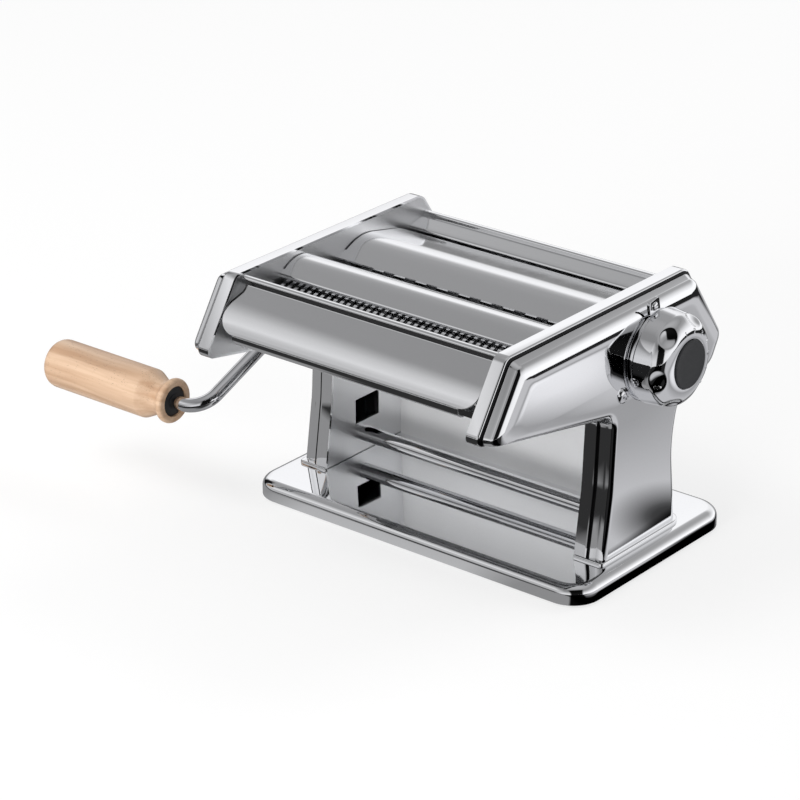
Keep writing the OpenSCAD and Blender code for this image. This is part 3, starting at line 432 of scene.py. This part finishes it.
knob_y, knob_z, hub_y, hub_z = 7.5, 103.5, 32.5, 95.5
casing_screw_spot = (-18.6, 91.7)
casing("knob_side_casing", 1, [(knob_y, knob_z, 4.6), (*casing_screw_spot, 2.2)], "right_casing")
casing("crank_side_casing", -1, [(hub_y, hub_z, 6.6), (-62, 110, 6.6), (-17.5, 107, 6.6),
                                 (*casing_screw_spot, 2.2)], "left_casing")

# ---- Casing screws
# One chromed panel screw with a domed head and a cross recess holds each casing. The recess gets
# shallower toward the ends of the cross.
head_radius, head_height, dome_power, head_rows, head_steps = 3.9, 1.9, 2.6, 14, 64
cross_reach, cross_half, cross_depth = 2.1, 0.42, 1.15
screw_points, screw_faces = [], []
for side in (1, -1):
    screw_faces += rings_to_faces(head_steps, head_rows + 1, len(screw_points))
    for i in range(head_rows + 1):
        r = head_radius * i / head_rows
        high = head_height * math.sqrt(max(1 - (r / head_radius) ** dome_power, 0))
        for j in range(head_steps):
            a = 2 * math.pi * j / head_steps
            u, v = r * math.cos(a), r * math.sin(a)
            along = min(max(abs(u), abs(v)) / cross_reach, 1)
            across = min(min(abs(u), abs(v)) / cross_half, 1)
            dip = cross_depth * (1 - along ** 3) * math.sqrt(1 - across ** 2)
            screw_points.append((side * (casing_face + high - dip),
                                 casing_screw_spot[0] + u, casing_screw_spot[1] + v))
screw_chrome = plated("screw_chrome", (0.8, 0.805, 0.82), 0.06, 0.14, 0.1)
make_piece("casing_screw_heads", screw_points, screw_faces, screw_chrome, "frame", "chrome",
           ["casing_screws"], sharp=60)

# ---- Front plate
# A plate of chromed sheet covers the front of the fine cutters. Its corners are round, its top edge
# is rolled down into the slot and its lower edge turns back under the head.
cover_chrome = plated("cover_chrome", (0.88, 0.885, 0.895), 0.08, 0.14, 0.6)
even_columns = [-1 + k / 10 for k in range(21)]
edge_radius, edge_rows, edge_bend = 0.0003, 3, 50


def bent_sheet(name, path, half_width, node, thickness=1.2, columns=even_columns, kept=None):
    """Sheet along a path of (y, z); half_width(run, length) gives its half length there."""
    runs = [0.0]
    for a, b in zip(path, path[1:]):
        runs.append(runs[-1] + (b - a).length)
    length, wide = runs[-1], len(columns)
    points, faces = [], []
    for p, run in zip(path, runs):
        points += [(c * half_width(run, length), p.x, p.y) for c in columns]
    for i in range(len(path) - 1):
        for j in range(wide - 1):
            if kept is None or kept(j, runs[i], runs[i + 1], length):
                a = i * wide + j
                faces.append((a, a + 1, a + wide + 1, a + wide))
    piece = make_piece(name, points, faces, cover_chrome, "frame", "chrome", [node], sharp=60)
    if piece.data.polygons[len(faces) // 2].normal.z < 0:
        piece.data.flip_normals()
    wall = piece.modifiers.new("sheet", "SOLIDIFY")
    wall.thickness, wall.offset, wall.use_even_offset = thickness * 0.001, -1, True
    edge = piece.modifiers.new("edge", "BEVEL")
    edge.width, edge.segments, edge.limit_method = edge_radius, edge_rows, "ANGLE"
    edge.angle_limit, edge.harden_normals = math.radians(edge_bend), True


def densified(path, step):
    """The same path with no gap longer than step."""
    points = [path[0]]
    for a, b in zip(path, path[1:]):
        parts = max(1, math.ceil((b - a).length / step))
        points += [a.lerp(b, k / parts) for k in range(1, parts + 1)]
    return points


front_low, front_high, front_half, flange_run = 9.0, 3.0, 75.1, 8.5


def front_reach(run, length):
    """Half length of the front plate, drawn in at its round corners."""
    for corner, near in ((front_low, max(run - flange_run, 0)), (front_high, length - run)):
        if near < corner:
            return front_half - corner + math.sqrt(max(corner ** 2 - (corner - near) ** 2, 0.01))
    return front_half


front_path = open_path([(-104.01, 103.8, 0), (-111.3, 105.39, 4.4), (-103.61, 118.6, 33.9),
                        (-91.2, 127.8, 0.5), (-91.25, 131.6, 1.5), (-87.4, 131.3, 1.7),
                        (-87.2, 126.8, 0)], steps=10)
bent_sheet("front_plate_sheet", densified(front_path, step=0.7), front_reach, "front_plate",
           thickness=0.9)

# ---- Covers over the head
# Three bent sheets close the head between and behind the slots. The two in front are cut back a
# little at both ends but for small tabs at their front and back edge, which hang in the side plates.
cover_half, hopper_half, tab_run = 75.5, 75.4, 6.5
cover_columns = [-1, -0.991] + [-0.9 + k / 10 for k in range(19)] + [0.991, 1]
cutter_cover = [(-63.79, 121.5, 0), (-64.4, 123.8, 1.6), (-50, 131.6, 16), (-35.2, 124.2, 1.6),
                (-36.6, 119.4, 0)]
roller_cover = [(-21.2, 119.3, 0), (-4, 127, 26), (26.6, 120.6, 1.77), (25.4, 113.5, 0)]
hopper = [(31.6, 110.5, 0), (32.9, 119.8, 1.6), (43.7, 122.0, 0.5), (44.1, 124.2, 1.2),
          (47.2, 124.2, 1.5), (61, 99, 8.8), (53.5, 82.5, 0)]


def tabs_only(column, start, end, length):
    """The outermost columns are kept only at the front and back edge."""
    outer = column in (0, len(cover_columns) - 2)
    return not outer or end < tab_run or start > length - tab_run


for name, node, corners in (("cutter_cover_sheet", "front_cover", cutter_cover),
                            ("roller_cover_sheet", "middle_cover", roller_cover)):
    bent_sheet(name, densified(open_path(corners, steps=12), step=1.5),
               lambda run, length: cover_half, node, columns=cover_columns, kept=tabs_only)
bent_sheet("hopper_sheet", densified(open_path(hopper, steps=12), step=2),
           lambda run, length: hopper_half, "hopper_plate", thickness=0.8)

# ---- Dial plate
# A round steel plate lies between the casing and the knob. Its index tab points at the number that
# is set, with a small raised pip on the tab, and an arc in it stops the knob.
dial_steel = plated("dial_steel", (0.82, 0.825, 0.84), 0.04, 0.09, 0.3)
tab_lean, tab_half, tab_reach, dial_radius, dial_steps = math.radians(10.8), 4.0, 29.6, 22.0, 90
pip_out, pip_radius, pip_foot, pip_height, pip_steps, pip_rows = 26.2, 2.1, 1.4, 1.3, 32, 9
tab_from = math.asin(tab_half / dial_radius)
tab_root = dial_radius * math.cos(tab_from)
dial_angles = [tab_from + (2 * math.pi - 2 * tab_from) * k / dial_steps for k in range(dial_steps + 1)]
dial_outline = [Vector((dial_radius * math.sin(a), dial_radius * math.cos(a))) for a in dial_angles]
dial_outline += open_path([(-tab_half, tab_root, 0), (-tab_half, tab_reach, 1.5),
                           (tab_half, tab_reach, 1.5), (tab_half, tab_root, 0)], steps=6)[1:-1]
dial_count = len(dial_outline)
dial_points, dial_rows = [], ((0, 0.0), (1.2, 0.0), (1.42, 0.08), (1.5, 0.3))
lean = Matrix.Rotation(tab_lean, 2)
for rise, inset in dial_rows:
    for p in dial_outline:
        q = lean @ (p * (1 - inset / p.length))
        dial_points.append((casing_face + rise, knob_y + q.x, knob_z + q.y))
dial_faces = rings_to_faces(dial_count, len(dial_rows), caps=(0, -1))
dial_faces += rings_to_faces(pip_steps, pip_rows, len(dial_points), caps=(-1,))
pip = lean @ Vector((0, pip_out))
for k in range(pip_rows):
    a = math.radians(90 * k / (pip_rows - 1))
    dial_points += circle(pip_radius * math.cos(a) + 0.02, knob_y + pip.x, knob_z + pip.y,
                          casing_face + pip_foot + pip_height * math.sin(a), pip_steps)
make_piece("dial_with_index", dial_points, dial_faces, dial_steel, "frame", "steel",
           ["dial_plate"], sharp=40)

# ---- Knob
# The knob is one chromed casting: a short straight side, a domed top, six hollows for the fingers
# and a flat round seat for the cap. It is hollow at the back.
knob_back, knob_depth, knob_radius, side_draft, side_height = 93.1, 16.5, 23.0, 0.8, 8.5
face_radius, seat_radius, seat_depth, knob_turns, pinhole = 12.3, 11.8, 2.2, 288, 0.05
dome_radius, dome_height, edge_height = knob_radius - side_draft, knob_depth - side_height, 0.5
side_rows, dome_rows = 20, 40
hollow_count, hollow_ball, hollow_out, hollow_up, hollow_soft = 6, 10.0, 26.9, 18.0, 0.6
first_hollow, hollow_margin = math.radians(38), 1.5
room_radius, room_depth, boss_radius, screw_radius, screw_depth = 14.5, 7.0, 6.0, 3.05, 6.0

# The outside of the knob as (height above its back, radius), from the back edge to the cap's seat
outside = [(0.0, knob_radius - 0.5), (0.15, knob_radius - 0.15), (edge_height, knob_radius)]
for k in range(1, side_rows + 1):
    share = k / side_rows
    outside.append((edge_height + (side_height - edge_height) * share,
                    knob_radius - side_draft * share))
for k in range(1, dome_rows + 1):
    a = math.radians(90 * k / dome_rows)
    outside.append((side_height + dome_height * math.sin(a),
                    face_radius + (dome_radius - face_radius) * math.cos(a)))
outside += [(knob_depth, seat_radius + 0.35), (knob_depth - 0.1, seat_radius + 0.1),
            (knob_depth - 0.35, seat_radius), (knob_depth - seat_depth, seat_radius),
            (knob_depth - seat_depth, pinhole)]


def hollowed(spot, out):
    """The spot, pushed in along its outward direction where a finger hollow takes it in."""
    for k in range(hollow_count):
        c = -first_hollow - 2 * math.pi / hollow_count * k
        arm = spot - Vector((hollow_up, hollow_out * math.sin(c), hollow_out * math.cos(c)))
        along = arm.dot(out)
        aside = (arm - out * along).length
        if aside < hollow_ball and arm.length < hollow_ball + hollow_margin:
            deep = along + math.sqrt(hollow_ball ** 2 - aside ** 2)
            spot = spot - out * (deep + math.sqrt(deep ** 2 + hollow_soft ** 2)) / 2
    return spot


inside = [(screw_depth, pinhole), (screw_depth, screw_radius), (0.0, screw_radius), (0.0, boss_radius),
          (room_depth, boss_radius), (room_depth, room_radius), (0.0, room_radius)]
knob_points = []
for height, radius in inside:
    knob_points += circle(radius, knob_y, knob_z, knob_back + height, knob_turns)
for i, (height, radius) in enumerate(outside):
    before, after = outside[max(i - 1, 0)], outside[min(i + 1, len(outside) - 1)]
    slope = Vector((after[0] - before[0], after[1] - before[1])).normalized()
    on_dome = radius > seat_radius + 0.2 and height > edge_height + 0.1
    for x, u, v in circle(1.0, 0, 0, height, knob_turns):
        spot = Vector((x, radius * u, radius * v))
        if on_dome:
            spot = hollowed(spot, Vector((-slope.y, slope.x * u, slope.x * v)))
        knob_points.append((knob_back + spot.x, knob_y + spot.y, knob_z + spot.z))
knob_faces = rings_to_faces(knob_turns, len(inside) + len(outside), caps=(-1,))
knob_chrome = plated("knob_chrome", (0.85, 0.855, 0.87), 0.03, 0.06, 0.15)
make_piece("knob_casting", knob_points, knob_faces, knob_chrome, "knob_body", "chrome", ["knob"],
           sharp=55)

# ---- Numbers on the knob
# A ring of small raised numbers is cast into the dome beside the cap, one for each roller gap. Each
# is one stroke of round wire through points (across, up).
number_strokes = [
    [(-0.25, 0.6), (0.1, 1.0), (0.1, -1.0)],
    [(-0.5, 0.6), (-0.2, 0.95), (0.3, 0.95), (0.5, 0.55), (0.4, 0.1), (-0.5, -1.0), (0.55, -1.0)],
    [(-0.5, 0.8), (0.0, 1.0), (0.45, 0.75), (0.4, 0.2), (-0.1, 0.02), (0.45, -0.2), (0.5, -0.75),
     (0.0, -1.0), (-0.5, -0.8)],
    [(0.25, -1.0), (0.25, 1.0), (-0.55, -0.4), (0.6, -0.4)],
    [(0.5, 1.0), (-0.4, 1.0), (-0.45, 0.15), (0.1, 0.25), (0.5, -0.1), (0.5, -0.65), (0.05, -1.0),
     (-0.5, -0.85)],
    [(0.4, 0.95), (-0.1, 0.7), (-0.5, 0.0), (-0.45, -0.7), (0.0, -1.0), (0.45, -0.7), (0.45, -0.2),
     (0.0, 0.05), (-0.45, -0.25)],
    [(-0.5, 1.0), (0.5, 1.0), (-0.1, -1.0)]]
number_radius, number_size, number_wire, number_step = 15.6, 1.15, 0.2, math.radians(25)
number_sides, number_parts, lift_out, lift_aside = 8, 3, 0.94, 0.34


def dome_spot(radius, angle):
    """Point on the dome at that radius and angle."""
    share = min(max((radius - face_radius) / (dome_radius - face_radius), 0.0), 1.0)
    height = side_height + dome_height * math.sqrt(1 - share ** 2)
    return Vector((knob_back + height, knob_y + radius * math.sin(angle),
                   knob_z + radius * math.cos(angle)))


number_points, number_faces = [], []
for number, stroke in enumerate(number_strokes):
    middle = -tab_lean + number_step * number
    lift = Vector((lift_out, lift_aside * math.sin(middle), lift_aside * math.cos(middle)))
    ends = [Vector(p) for p in stroke]
    flat = [a.lerp(b, k / number_parts) for a, b in zip(ends, ends[1:]) for k in range(number_parts)]
    line = [dome_spot(number_radius + number_size * p.y, middle + number_size * p.x / number_radius)
            for p in flat + [ends[-1]]]
    number_faces += rings_to_faces(number_sides, len(line), len(number_points), caps=(0, -1))
    for k, spot in enumerate(line):
        run = (line[min(k + 1, len(line) - 1)] - line[max(k - 1, 0)]).normalized()
        side = run.cross(lift).normalized()
        rise = side.cross(run).normalized()
        number_points += [spot + (side * u + rise * v) * number_wire
                          for x, u, v in circle(1.0, 0, 0, 0, number_sides)]
make_piece("knob_numbers", number_points, number_faces, bar_chrome, "knob_body", "chrome")

# ---- Cap of the knob
# A flat cap of black moulded plastic with a soft edge closes the hole over the knob's screw. Its
# face lies a little lower than its rim.
cap_plastic = moulded("cap_plastic", 2200.0, 2.0, 90.0, (0.014, 0.015, 0.017), (0.024, 0.025, 0.028),
                      0.42, 0.58, 0.00003)


def turned(shape, x, y, z, steps, way=1, loop=False):
    """Points and faces of a turned shape of (distance along X, radius) from that spot."""
    points = [p for run, radius in shape for p in circle(radius, y, z, x + way * run, steps)]
    return points, rings_to_faces(steps, len(shape), caps=() if loop else (0, -1), loop=loop)


cap_shape = [(15.15, 0.05), (15.15, 11.6), (16.9, 11.7), (17.15, 11.6), (17.28, 11.35), (17.3, 11.0),
             (17.22, 10.7), (17.24, 6.0), (17.25, 0.05)]
make_piece("knob_cap_disc", *turned(cap_shape, knob_back, knob_y, knob_z, steps=96), cap_plastic,
           "knob_body", "black_plastic", ["knob_cap"], sharp=35)

# ---- Crank
# The crank is one chromed steel rod, bent twice, with a cross pin that drives the roller's socket.
dress(bar_chrome, "crank_rod")

# ---- Grip
# The grip is turned from one piece of light beech with a thin clear varnish: a long straight body,
# a cone, a narrow neck and a round collar. The pores run along it.
crank_arm, grip_tilt, grip_face, grip_length = 121.8, math.radians(22.7), -130.5, 80.5
grip_y, grip_z = hub_y - crank_arm * math.cos(grip_tilt), hub_z - crank_arm * math.sin(grip_tilt)
beech, beech_tree = new_material("varnished_beech")
beech_place = object_place(beech_tree)
beech_bend = noise(beech_tree, beech_place, 18.0, 2.0)["Color"]
beech_shift = vector_math(beech_tree, "SCALE", beech_bend, 0.006)["Vector"]
beech_spot = vector_math(beech_tree, "ADD", beech_place, beech_shift)["Vector"]
beech_rings = wire(beech_tree, "ShaderNodeMapping",
                   {"Vector": beech_spot, "Scale": (9.0, 210.0, 330.0)}).outputs[0]
beech_year = noise(beech_tree, beech_rings, 1.0, 3.0, 0.55)["Fac"]
beech_flecks = wire(beech_tree, "ShaderNodeMapping",
                    {"Vector": beech_spot, "Scale": (420.0, 1500.0, 1500.0)}).outputs[0]
beech_cells = wire(beech_tree, "ShaderNodeTexVoronoi", {"Vector": beech_flecks, "Scale": 1.0})
beech_pore = span(beech_tree, beech_cells.outputs["Distance"], 0.08, 0.24, 1.0, 0.0)
beech_patch = span(beech_tree, noise(beech_tree, beech_place, 95.0, 3.0)["Fac"], 0.38, 0.5)
beech_pore = number_math(beech_tree, "MULTIPLY", beech_pore, beech_patch)
beech_tone = blend(beech_tree, span(beech_tree, beech_year, 0.32, 0.66),
                   (0.50, 0.31, 0.19, 1), (0.68, 0.48, 0.33, 1))
surface(beech_tree, blend(beech_tree, beech_pore, beech_tone, (0.30, 0.19, 0.13, 1)),
        span(beech_tree, beech_year, 0.0, 1.0, 0.5, 0.36),
        number_math(beech_tree, "SUBTRACT", beech_year, beech_pore), 0.00006,
        {"Coat Weight": 0.25, "Coat Roughness": 0.25})
bore = [(3.6, 0.05), (3.6, 7.75)]
grip_shape = bore + [(p.x, p.y) for p in open_path(
    [(0, 7.75, 0), (0, 9.1, 0), (0, 11.3, 1.6), (2.7, 11.3, 1.9), (5.6, 8.9, 1.4), (7.6, 8.5, 3),
     (10, 9.3, 5), (16.2, 12.4, 3), (40, 12.4, 10), (grip_length, 12.4, 5.6),
     (grip_length, 0.05, 0)], steps=8)]
make_piece("grip_wood", *turned(grip_shape, grip_face, grip_y, grip_z, steps=128, way=-1), beech,
           "crank_grip", "wood", ["grip"], sharp=40)

# ---- Bush in the grip
# A black plastic bush with a flange sits a little inside the grip's neck and runs on the rod.
bush_shape = [(1.0, 3.6), (1.0, 7.2), (1.15, 7.5), (1.5, 7.7), (3.4, 7.7), (3.4, 3.6)]
bush_mesh = turned(bush_shape, grip_face, grip_y, grip_z, steps=96, way=-1, loop=True)
make_piece("grip_bush_ring", *bush_mesh, cap_plastic, "crank_grip", "black_plastic",
           ["grip_bush"], sharp=35)

# ---- Camera
# The camera stands where the photograph was taken from, with the same perspective. The values are
# those of the solved view, whose picture is 800 points wide.
azimuth, elevation, roll_angle = math.radians(39.077), math.radians(23.83), math.radians(-0.13)
focal_points, picture_points, distance = 3224.30, 800, 1567.62
aim = Vector((-44.924, -11.843, 49.556))
back = Vector((math.sin(azimuth) * math.cos(elevation), -math.cos(azimuth) * math.cos(elevation),
               math.sin(elevation)))
level = Vector((math.cos(azimuth), math.sin(azimuth), 0))
upright = back.cross(level)
right = level * math.cos(roll_angle) + upright * math.sin(roll_angle)
up = upright * math.cos(roll_angle) - level * math.sin(roll_angle)
lens = bpy.data.cameras.new("view")
lens.sensor_width = 36.0
lens.lens = focal_points * lens.sensor_width / picture_points
lens.clip_start, lens.clip_end = 0.05, 60
camera = bpy.data.objects.new("view", lens)
turn = Matrix((right, up, back)).transposed().to_4x4()
camera.matrix_world = Matrix.Translation((aim + back * distance) * 0.001) @ turn
bpy.context.scene.collection.objects.link(camera)
bpy.context.scene.camera = camera

# ---- Studio
# A pale floor, a white surround and three soft lamps. Polished metal mirrors instead a glowing tent
# and a glowing sheet on the ground, painted reflections whose greys and blacks stay out of sight and
# light nothing else.
scene = bpy.context.scene
scene.view_settings.view_transform = "Standard"


def seen_share(tree):
    """One where the camera sees a thing, by itself or in a mirror, and nought for other light."""
    rays = wire(tree, "ShaderNodeLightPath").outputs
    seen = number_math(tree, "ADD", rays["Is Camera Ray"], rays["Is Glossy Ray"])
    return number_math(tree, "ADD", seen, rays["Is Transmission Ray"], clamp=True)


world = bpy.data.worlds.new("surround")
scene.world = world
world.use_nodes = True
sky = world.node_tree
sky.nodes.clear()
sky_light = wire(sky, "ShaderNodeBackground", {
    "Color": (1, 1, 1, 1), "Strength": span(sky, seen_share(sky), 0.0, 1.0, 0.45, 1.0)})
wire(sky, "ShaderNodeOutputWorld", {"Surface": sky_light.outputs[0]})


def bare_material(name):
    """Material with an empty tree."""
    material, tree = new_material(name)
    tree.nodes.clear()
    return material, tree


def studio_part(name, points, faces, material):
    """Mesh that belongs to the studio, in metres."""
    mesh = bpy.data.meshes.new(name)
    mesh.from_pydata(points, [], faces)
    mesh.materials.append(material)
    thing = bpy.data.objects.new(name, mesh)
    scene.collection.objects.link(thing)
    return thing


def flat_square(half, z):
    """Corners and face of a level square round the origin."""
    return [(-half, -half, z), (half, -half, z), (half, half, z), (-half, half, z)], [(0, 1, 2, 3)]


# Where the floor is seen it is partly white of itself; the rest is matt and takes the shadow
own_white, white_strength, matt_grey, floor_half = 0.6, 1.12, 0.86, 6
pale, pale_tree = bare_material("pale_floor")
pale_share = number_math(pale_tree, "MULTIPLY", seen_share(pale_tree), own_white)
pale_matt = wire(pale_tree, "ShaderNodeBsdfDiffuse", {"Color": (matt_grey, matt_grey, matt_grey, 1)})
pale_glow = wire(pale_tree, "ShaderNodeEmission", {"Color": (1, 1, 1, 1), "Strength": white_strength})
pale_mix = wire(pale_tree, "ShaderNodeMixShader",
                {0: pale_share, 1: pale_matt.outputs[0], 2: pale_glow.outputs[0]})
wire(pale_tree, "ShaderNodeOutputMaterial", {"Surface": pale_mix.outputs[0]})
studio_part("floor", *flat_square(floor_half, 0), pale)


def lamp(name, place_at, aim_at, size, power):
    """Soft square lamp of that many watts, which metal doesn't mirror."""
    data = bpy.data.lights.new(name, "AREA")
    data.shape, data.size, data.energy = "SQUARE", size, power
    thing = bpy.data.objects.new(name, data)
    thing.location = place_at
    thing.rotation_euler = (Vector(aim_at) - Vector(place_at)).to_track_quat("-Z", "Y").to_euler()
    thing.visible_glossy = False
    scene.collection.objects.link(thing)


lamp("key_lamp", (-1.2, -1.0, 1.9), (0, 0, 0.08), 1.2, 20)
lamp("back_lamp", (0.6, 1.8, 1.6), (0, 0, 0.08), 1.0, 14)
lamp("low_lamp", (0.1, -1.5, 0.36), (0, 0, 0.04), 0.7, 15)


cool, flag_dark, flag_fade = 1.015, 0.01, 0.12


def only_mirrored(name, points, faces, material, tree, grey, strength):
    """Glowing part of the studio that only polished surfaces show."""
    light = wire(tree, "ShaderNodeEmission", {"Color": grey, "Strength": strength})
    wire(tree, "ShaderNodeOutputMaterial", {"Surface": light.outputs[0]})
    thing = studio_part(name, points, faces, material)
    thing.visible_camera = thing.visible_diffuse = thing.visible_shadow = False


def grey_ramp(tree, value, *stops):
    """Grey that follows a value through stops (position, grey)."""
    ramp = wire(tree, "ShaderNodeValToRGB", {"Fac": value})
    elements = ramp.color_ramp.elements
    while len(elements) < len(stops):
        elements.new(0.5)
    for element, (position, grey) in zip(elements, stops):
        element.position, element.color = position, (grey, grey, grey * cool, 1)
    return ramp.outputs["Color"]


def black_flag(tree, way, bearing, half, soft, top):
    """Share of light left beside an upright black flag that stands at that bearing, in degrees."""
    a = math.radians(bearing)
    across = vector_math(tree, "DOT_PRODUCT", way, (math.cos(a), math.sin(a), 0))["Value"]
    ahead = vector_math(tree, "DOT_PRODUCT", way, (math.sin(a), -math.cos(a), 0))["Value"]
    beside = span(tree, number_math(tree, "ABSOLUTE", across), half, half + soft, flag_dark, 1.0)
    above = span(tree, ahead, top, top + flag_fade, 1.0, 0.0)
    return number_math(tree, "MAXIMUM", beside, above)


# The tent is a glowing dome, a painted reflection. Its grey goes by height (0 at the ground, 1
# overhead), on the left in one way in front of the machine and another behind it, and it has two black
# flags, painted dark patches in what the metal mirrors.
tent, tent_tree = bare_material("tent_painted_reflection")
tent_way = vector_math(tent_tree, "NORMALIZE", object_place(tent_tree))["Vector"]
tent_part = wire(tent_tree, "ShaderNodeSeparateXYZ", {0: tent_way}).outputs
tent_fore = grey_ramp(tent_tree, tent_part["Z"], (0.0, 0.03), (0.07, 0.15), (0.2, 0.72), (0.4, 0.66),
                      (0.5, 1.08), (0.64, 0.8), (0.76, 0.38), (0.88, 0.34), (1.0, 0.5))
tent_rear = grey_ramp(tent_tree, tent_part["Z"], (0.0, 0.03), (0.07, 0.15), (0.2, 0.85), (0.38, 1.0),
                      (0.5, 1.05), (0.6, 0.48), (0.7, 0.36), (0.88, 0.34), (1.0, 0.5))
tent_left = blend(tent_tree, span(tent_tree, tent_part["Y"], -0.1, 0.2), tent_fore, tent_rear)
tent_right = grey_ramp(tent_tree, tent_part["Z"], (0.0, 1.1), (0.2, 1.1), (0.42, 0.75), (0.6, 0.4),
                       (0.75, 0.3), (1.0, 0.5))
tent_grey = blend(tent_tree, span(tent_tree, tent_part["X"], -0.4, 0.1), tent_left, tent_right)
tent_share = span(tent_tree, tent_part["Y"], -0.75, 0.4, 0.7, 1.0)
for flag in ((52.0, 0.3, 0.08, 0.45), (-97.0, 0.12, 0.12, 0.66)):
    tent_share = number_math(tent_tree, "MULTIPLY", tent_share, black_flag(tent_tree, tent_way, *flag))
tent_radius, tent_rows, tent_steps = 2.6, 25, 64
tent_points = []
for i in range(tent_rows):
    a = math.radians(90 * i / (tent_rows - 1))
    tent_points += [(u, v, tent_radius * math.sin(a)) for x, u, v in
                    circle(tent_radius * math.cos(a), 0, 0, 0, tent_steps)]
only_mirrored("tent", tent_points, rings_to_faces(tent_steps, tent_rows), tent, tent_tree, tent_grey,
              tent_share)

# The sheet on the ground glows as a painted reflection of the floor, with painted shadow and light.
# On the knob side it is pale with a painted bright spot, and dark with painted shadow at the base, in
# front and far behind. Elsewhere it is grey at the base, dim beside the uprights and black farther in
# front, where the head's shadow is painted.
ground, ground_tree = bare_material("floor_painted_reflection")
ground_place = object_place(ground_tree)
ground_spot = wire(ground_tree, "ShaderNodeSeparateXYZ", {0: ground_place}).outputs
ground_shade = vector_math(ground_tree, "DISTANCE", ground_place, (0.105, 0.05, 0))["Value"]
ground_right = grey_ramp(ground_tree, ground_shade, (0.0, 0.04), (0.014, 0.1), (0.03, 0.6),
                         (0.042, 0.98), (1.0, 0.98))
ground_glow = vector_math(ground_tree, "DISTANCE", ground_place, (0.285, 0.155, 0))["Value"]
ground_soft = grey_ramp(ground_tree, ground_glow, (0.0, 1.0), (0.045, 0.85), (0.09, 0.36),
                        (0.13, 0.46), (0.17, 0.57), (1.0, 0.57))
ground_edge = span(ground_tree, ground_spot["X"], 0.107, 0.113)
ground_near = span(ground_tree, ground_spot["Y"], -0.07, -0.035, 0.03, 1.0)
ground_far = span(ground_tree, ground_spot["Y"], 0.44, 0.52, 1.0, 0.03)
ground_part = number_math(ground_tree, "MULTIPLY", ground_near, ground_far)
ground_part = number_math(ground_tree, "MULTIPLY", ground_part, ground_edge)
ground_side = vector_math(ground_tree, "SCALE", ground_right, ground_part)["Vector"]
ground_side = vector_math(ground_tree, "MULTIPLY", ground_side, ground_soft)["Vector"]
ground_away = span(ground_tree, ground_spot["Y"], -0.861, -0.061, 1.0, 0.0)
ground_fore = grey_ramp(ground_tree, ground_away, (0.0, 0.5), (0.025, 0.45), (0.038, 0.1),
                        (0.075, 0.03), (0.85, 0.03), (1.0, 0.5))
ground_aside = number_math(ground_tree, "ADD", ground_spot["X"], 0.02)
ground_wide = number_math(ground_tree, "ABSOLUTE", ground_aside)
ground_open = number_math(ground_tree, "MULTIPLY", span(ground_tree, ground_wide, 0.05, 0.08),
                          span(ground_tree, ground_spot["Y"], -0.18, -0.155))
ground_fore = blend(ground_tree, ground_open, ground_fore, (0.28, 0.28, 0.284, 1))
ground_grey = blend(ground_tree, span(ground_tree, ground_spot["X"], 0.097, 0.101), ground_fore,
                    ground_side)
ground_apex = vector_math(ground_tree, "SUBTRACT", ground_place, (0.085, -0.046, 0))["Vector"]
ground_way = vector_math(ground_tree, "NORMALIZE", ground_apex)["Vector"]
ground_flag = black_flag(ground_tree, ground_way, 50.0, 0.3, 0.08, 0.0)
reflection_half, reflection_z = 1.8, 0.0003
only_mirrored("floor_painted_reflection", *flat_square(reflection_half, reflection_z), ground, ground_tree, ground_grey,
              ground_flag)
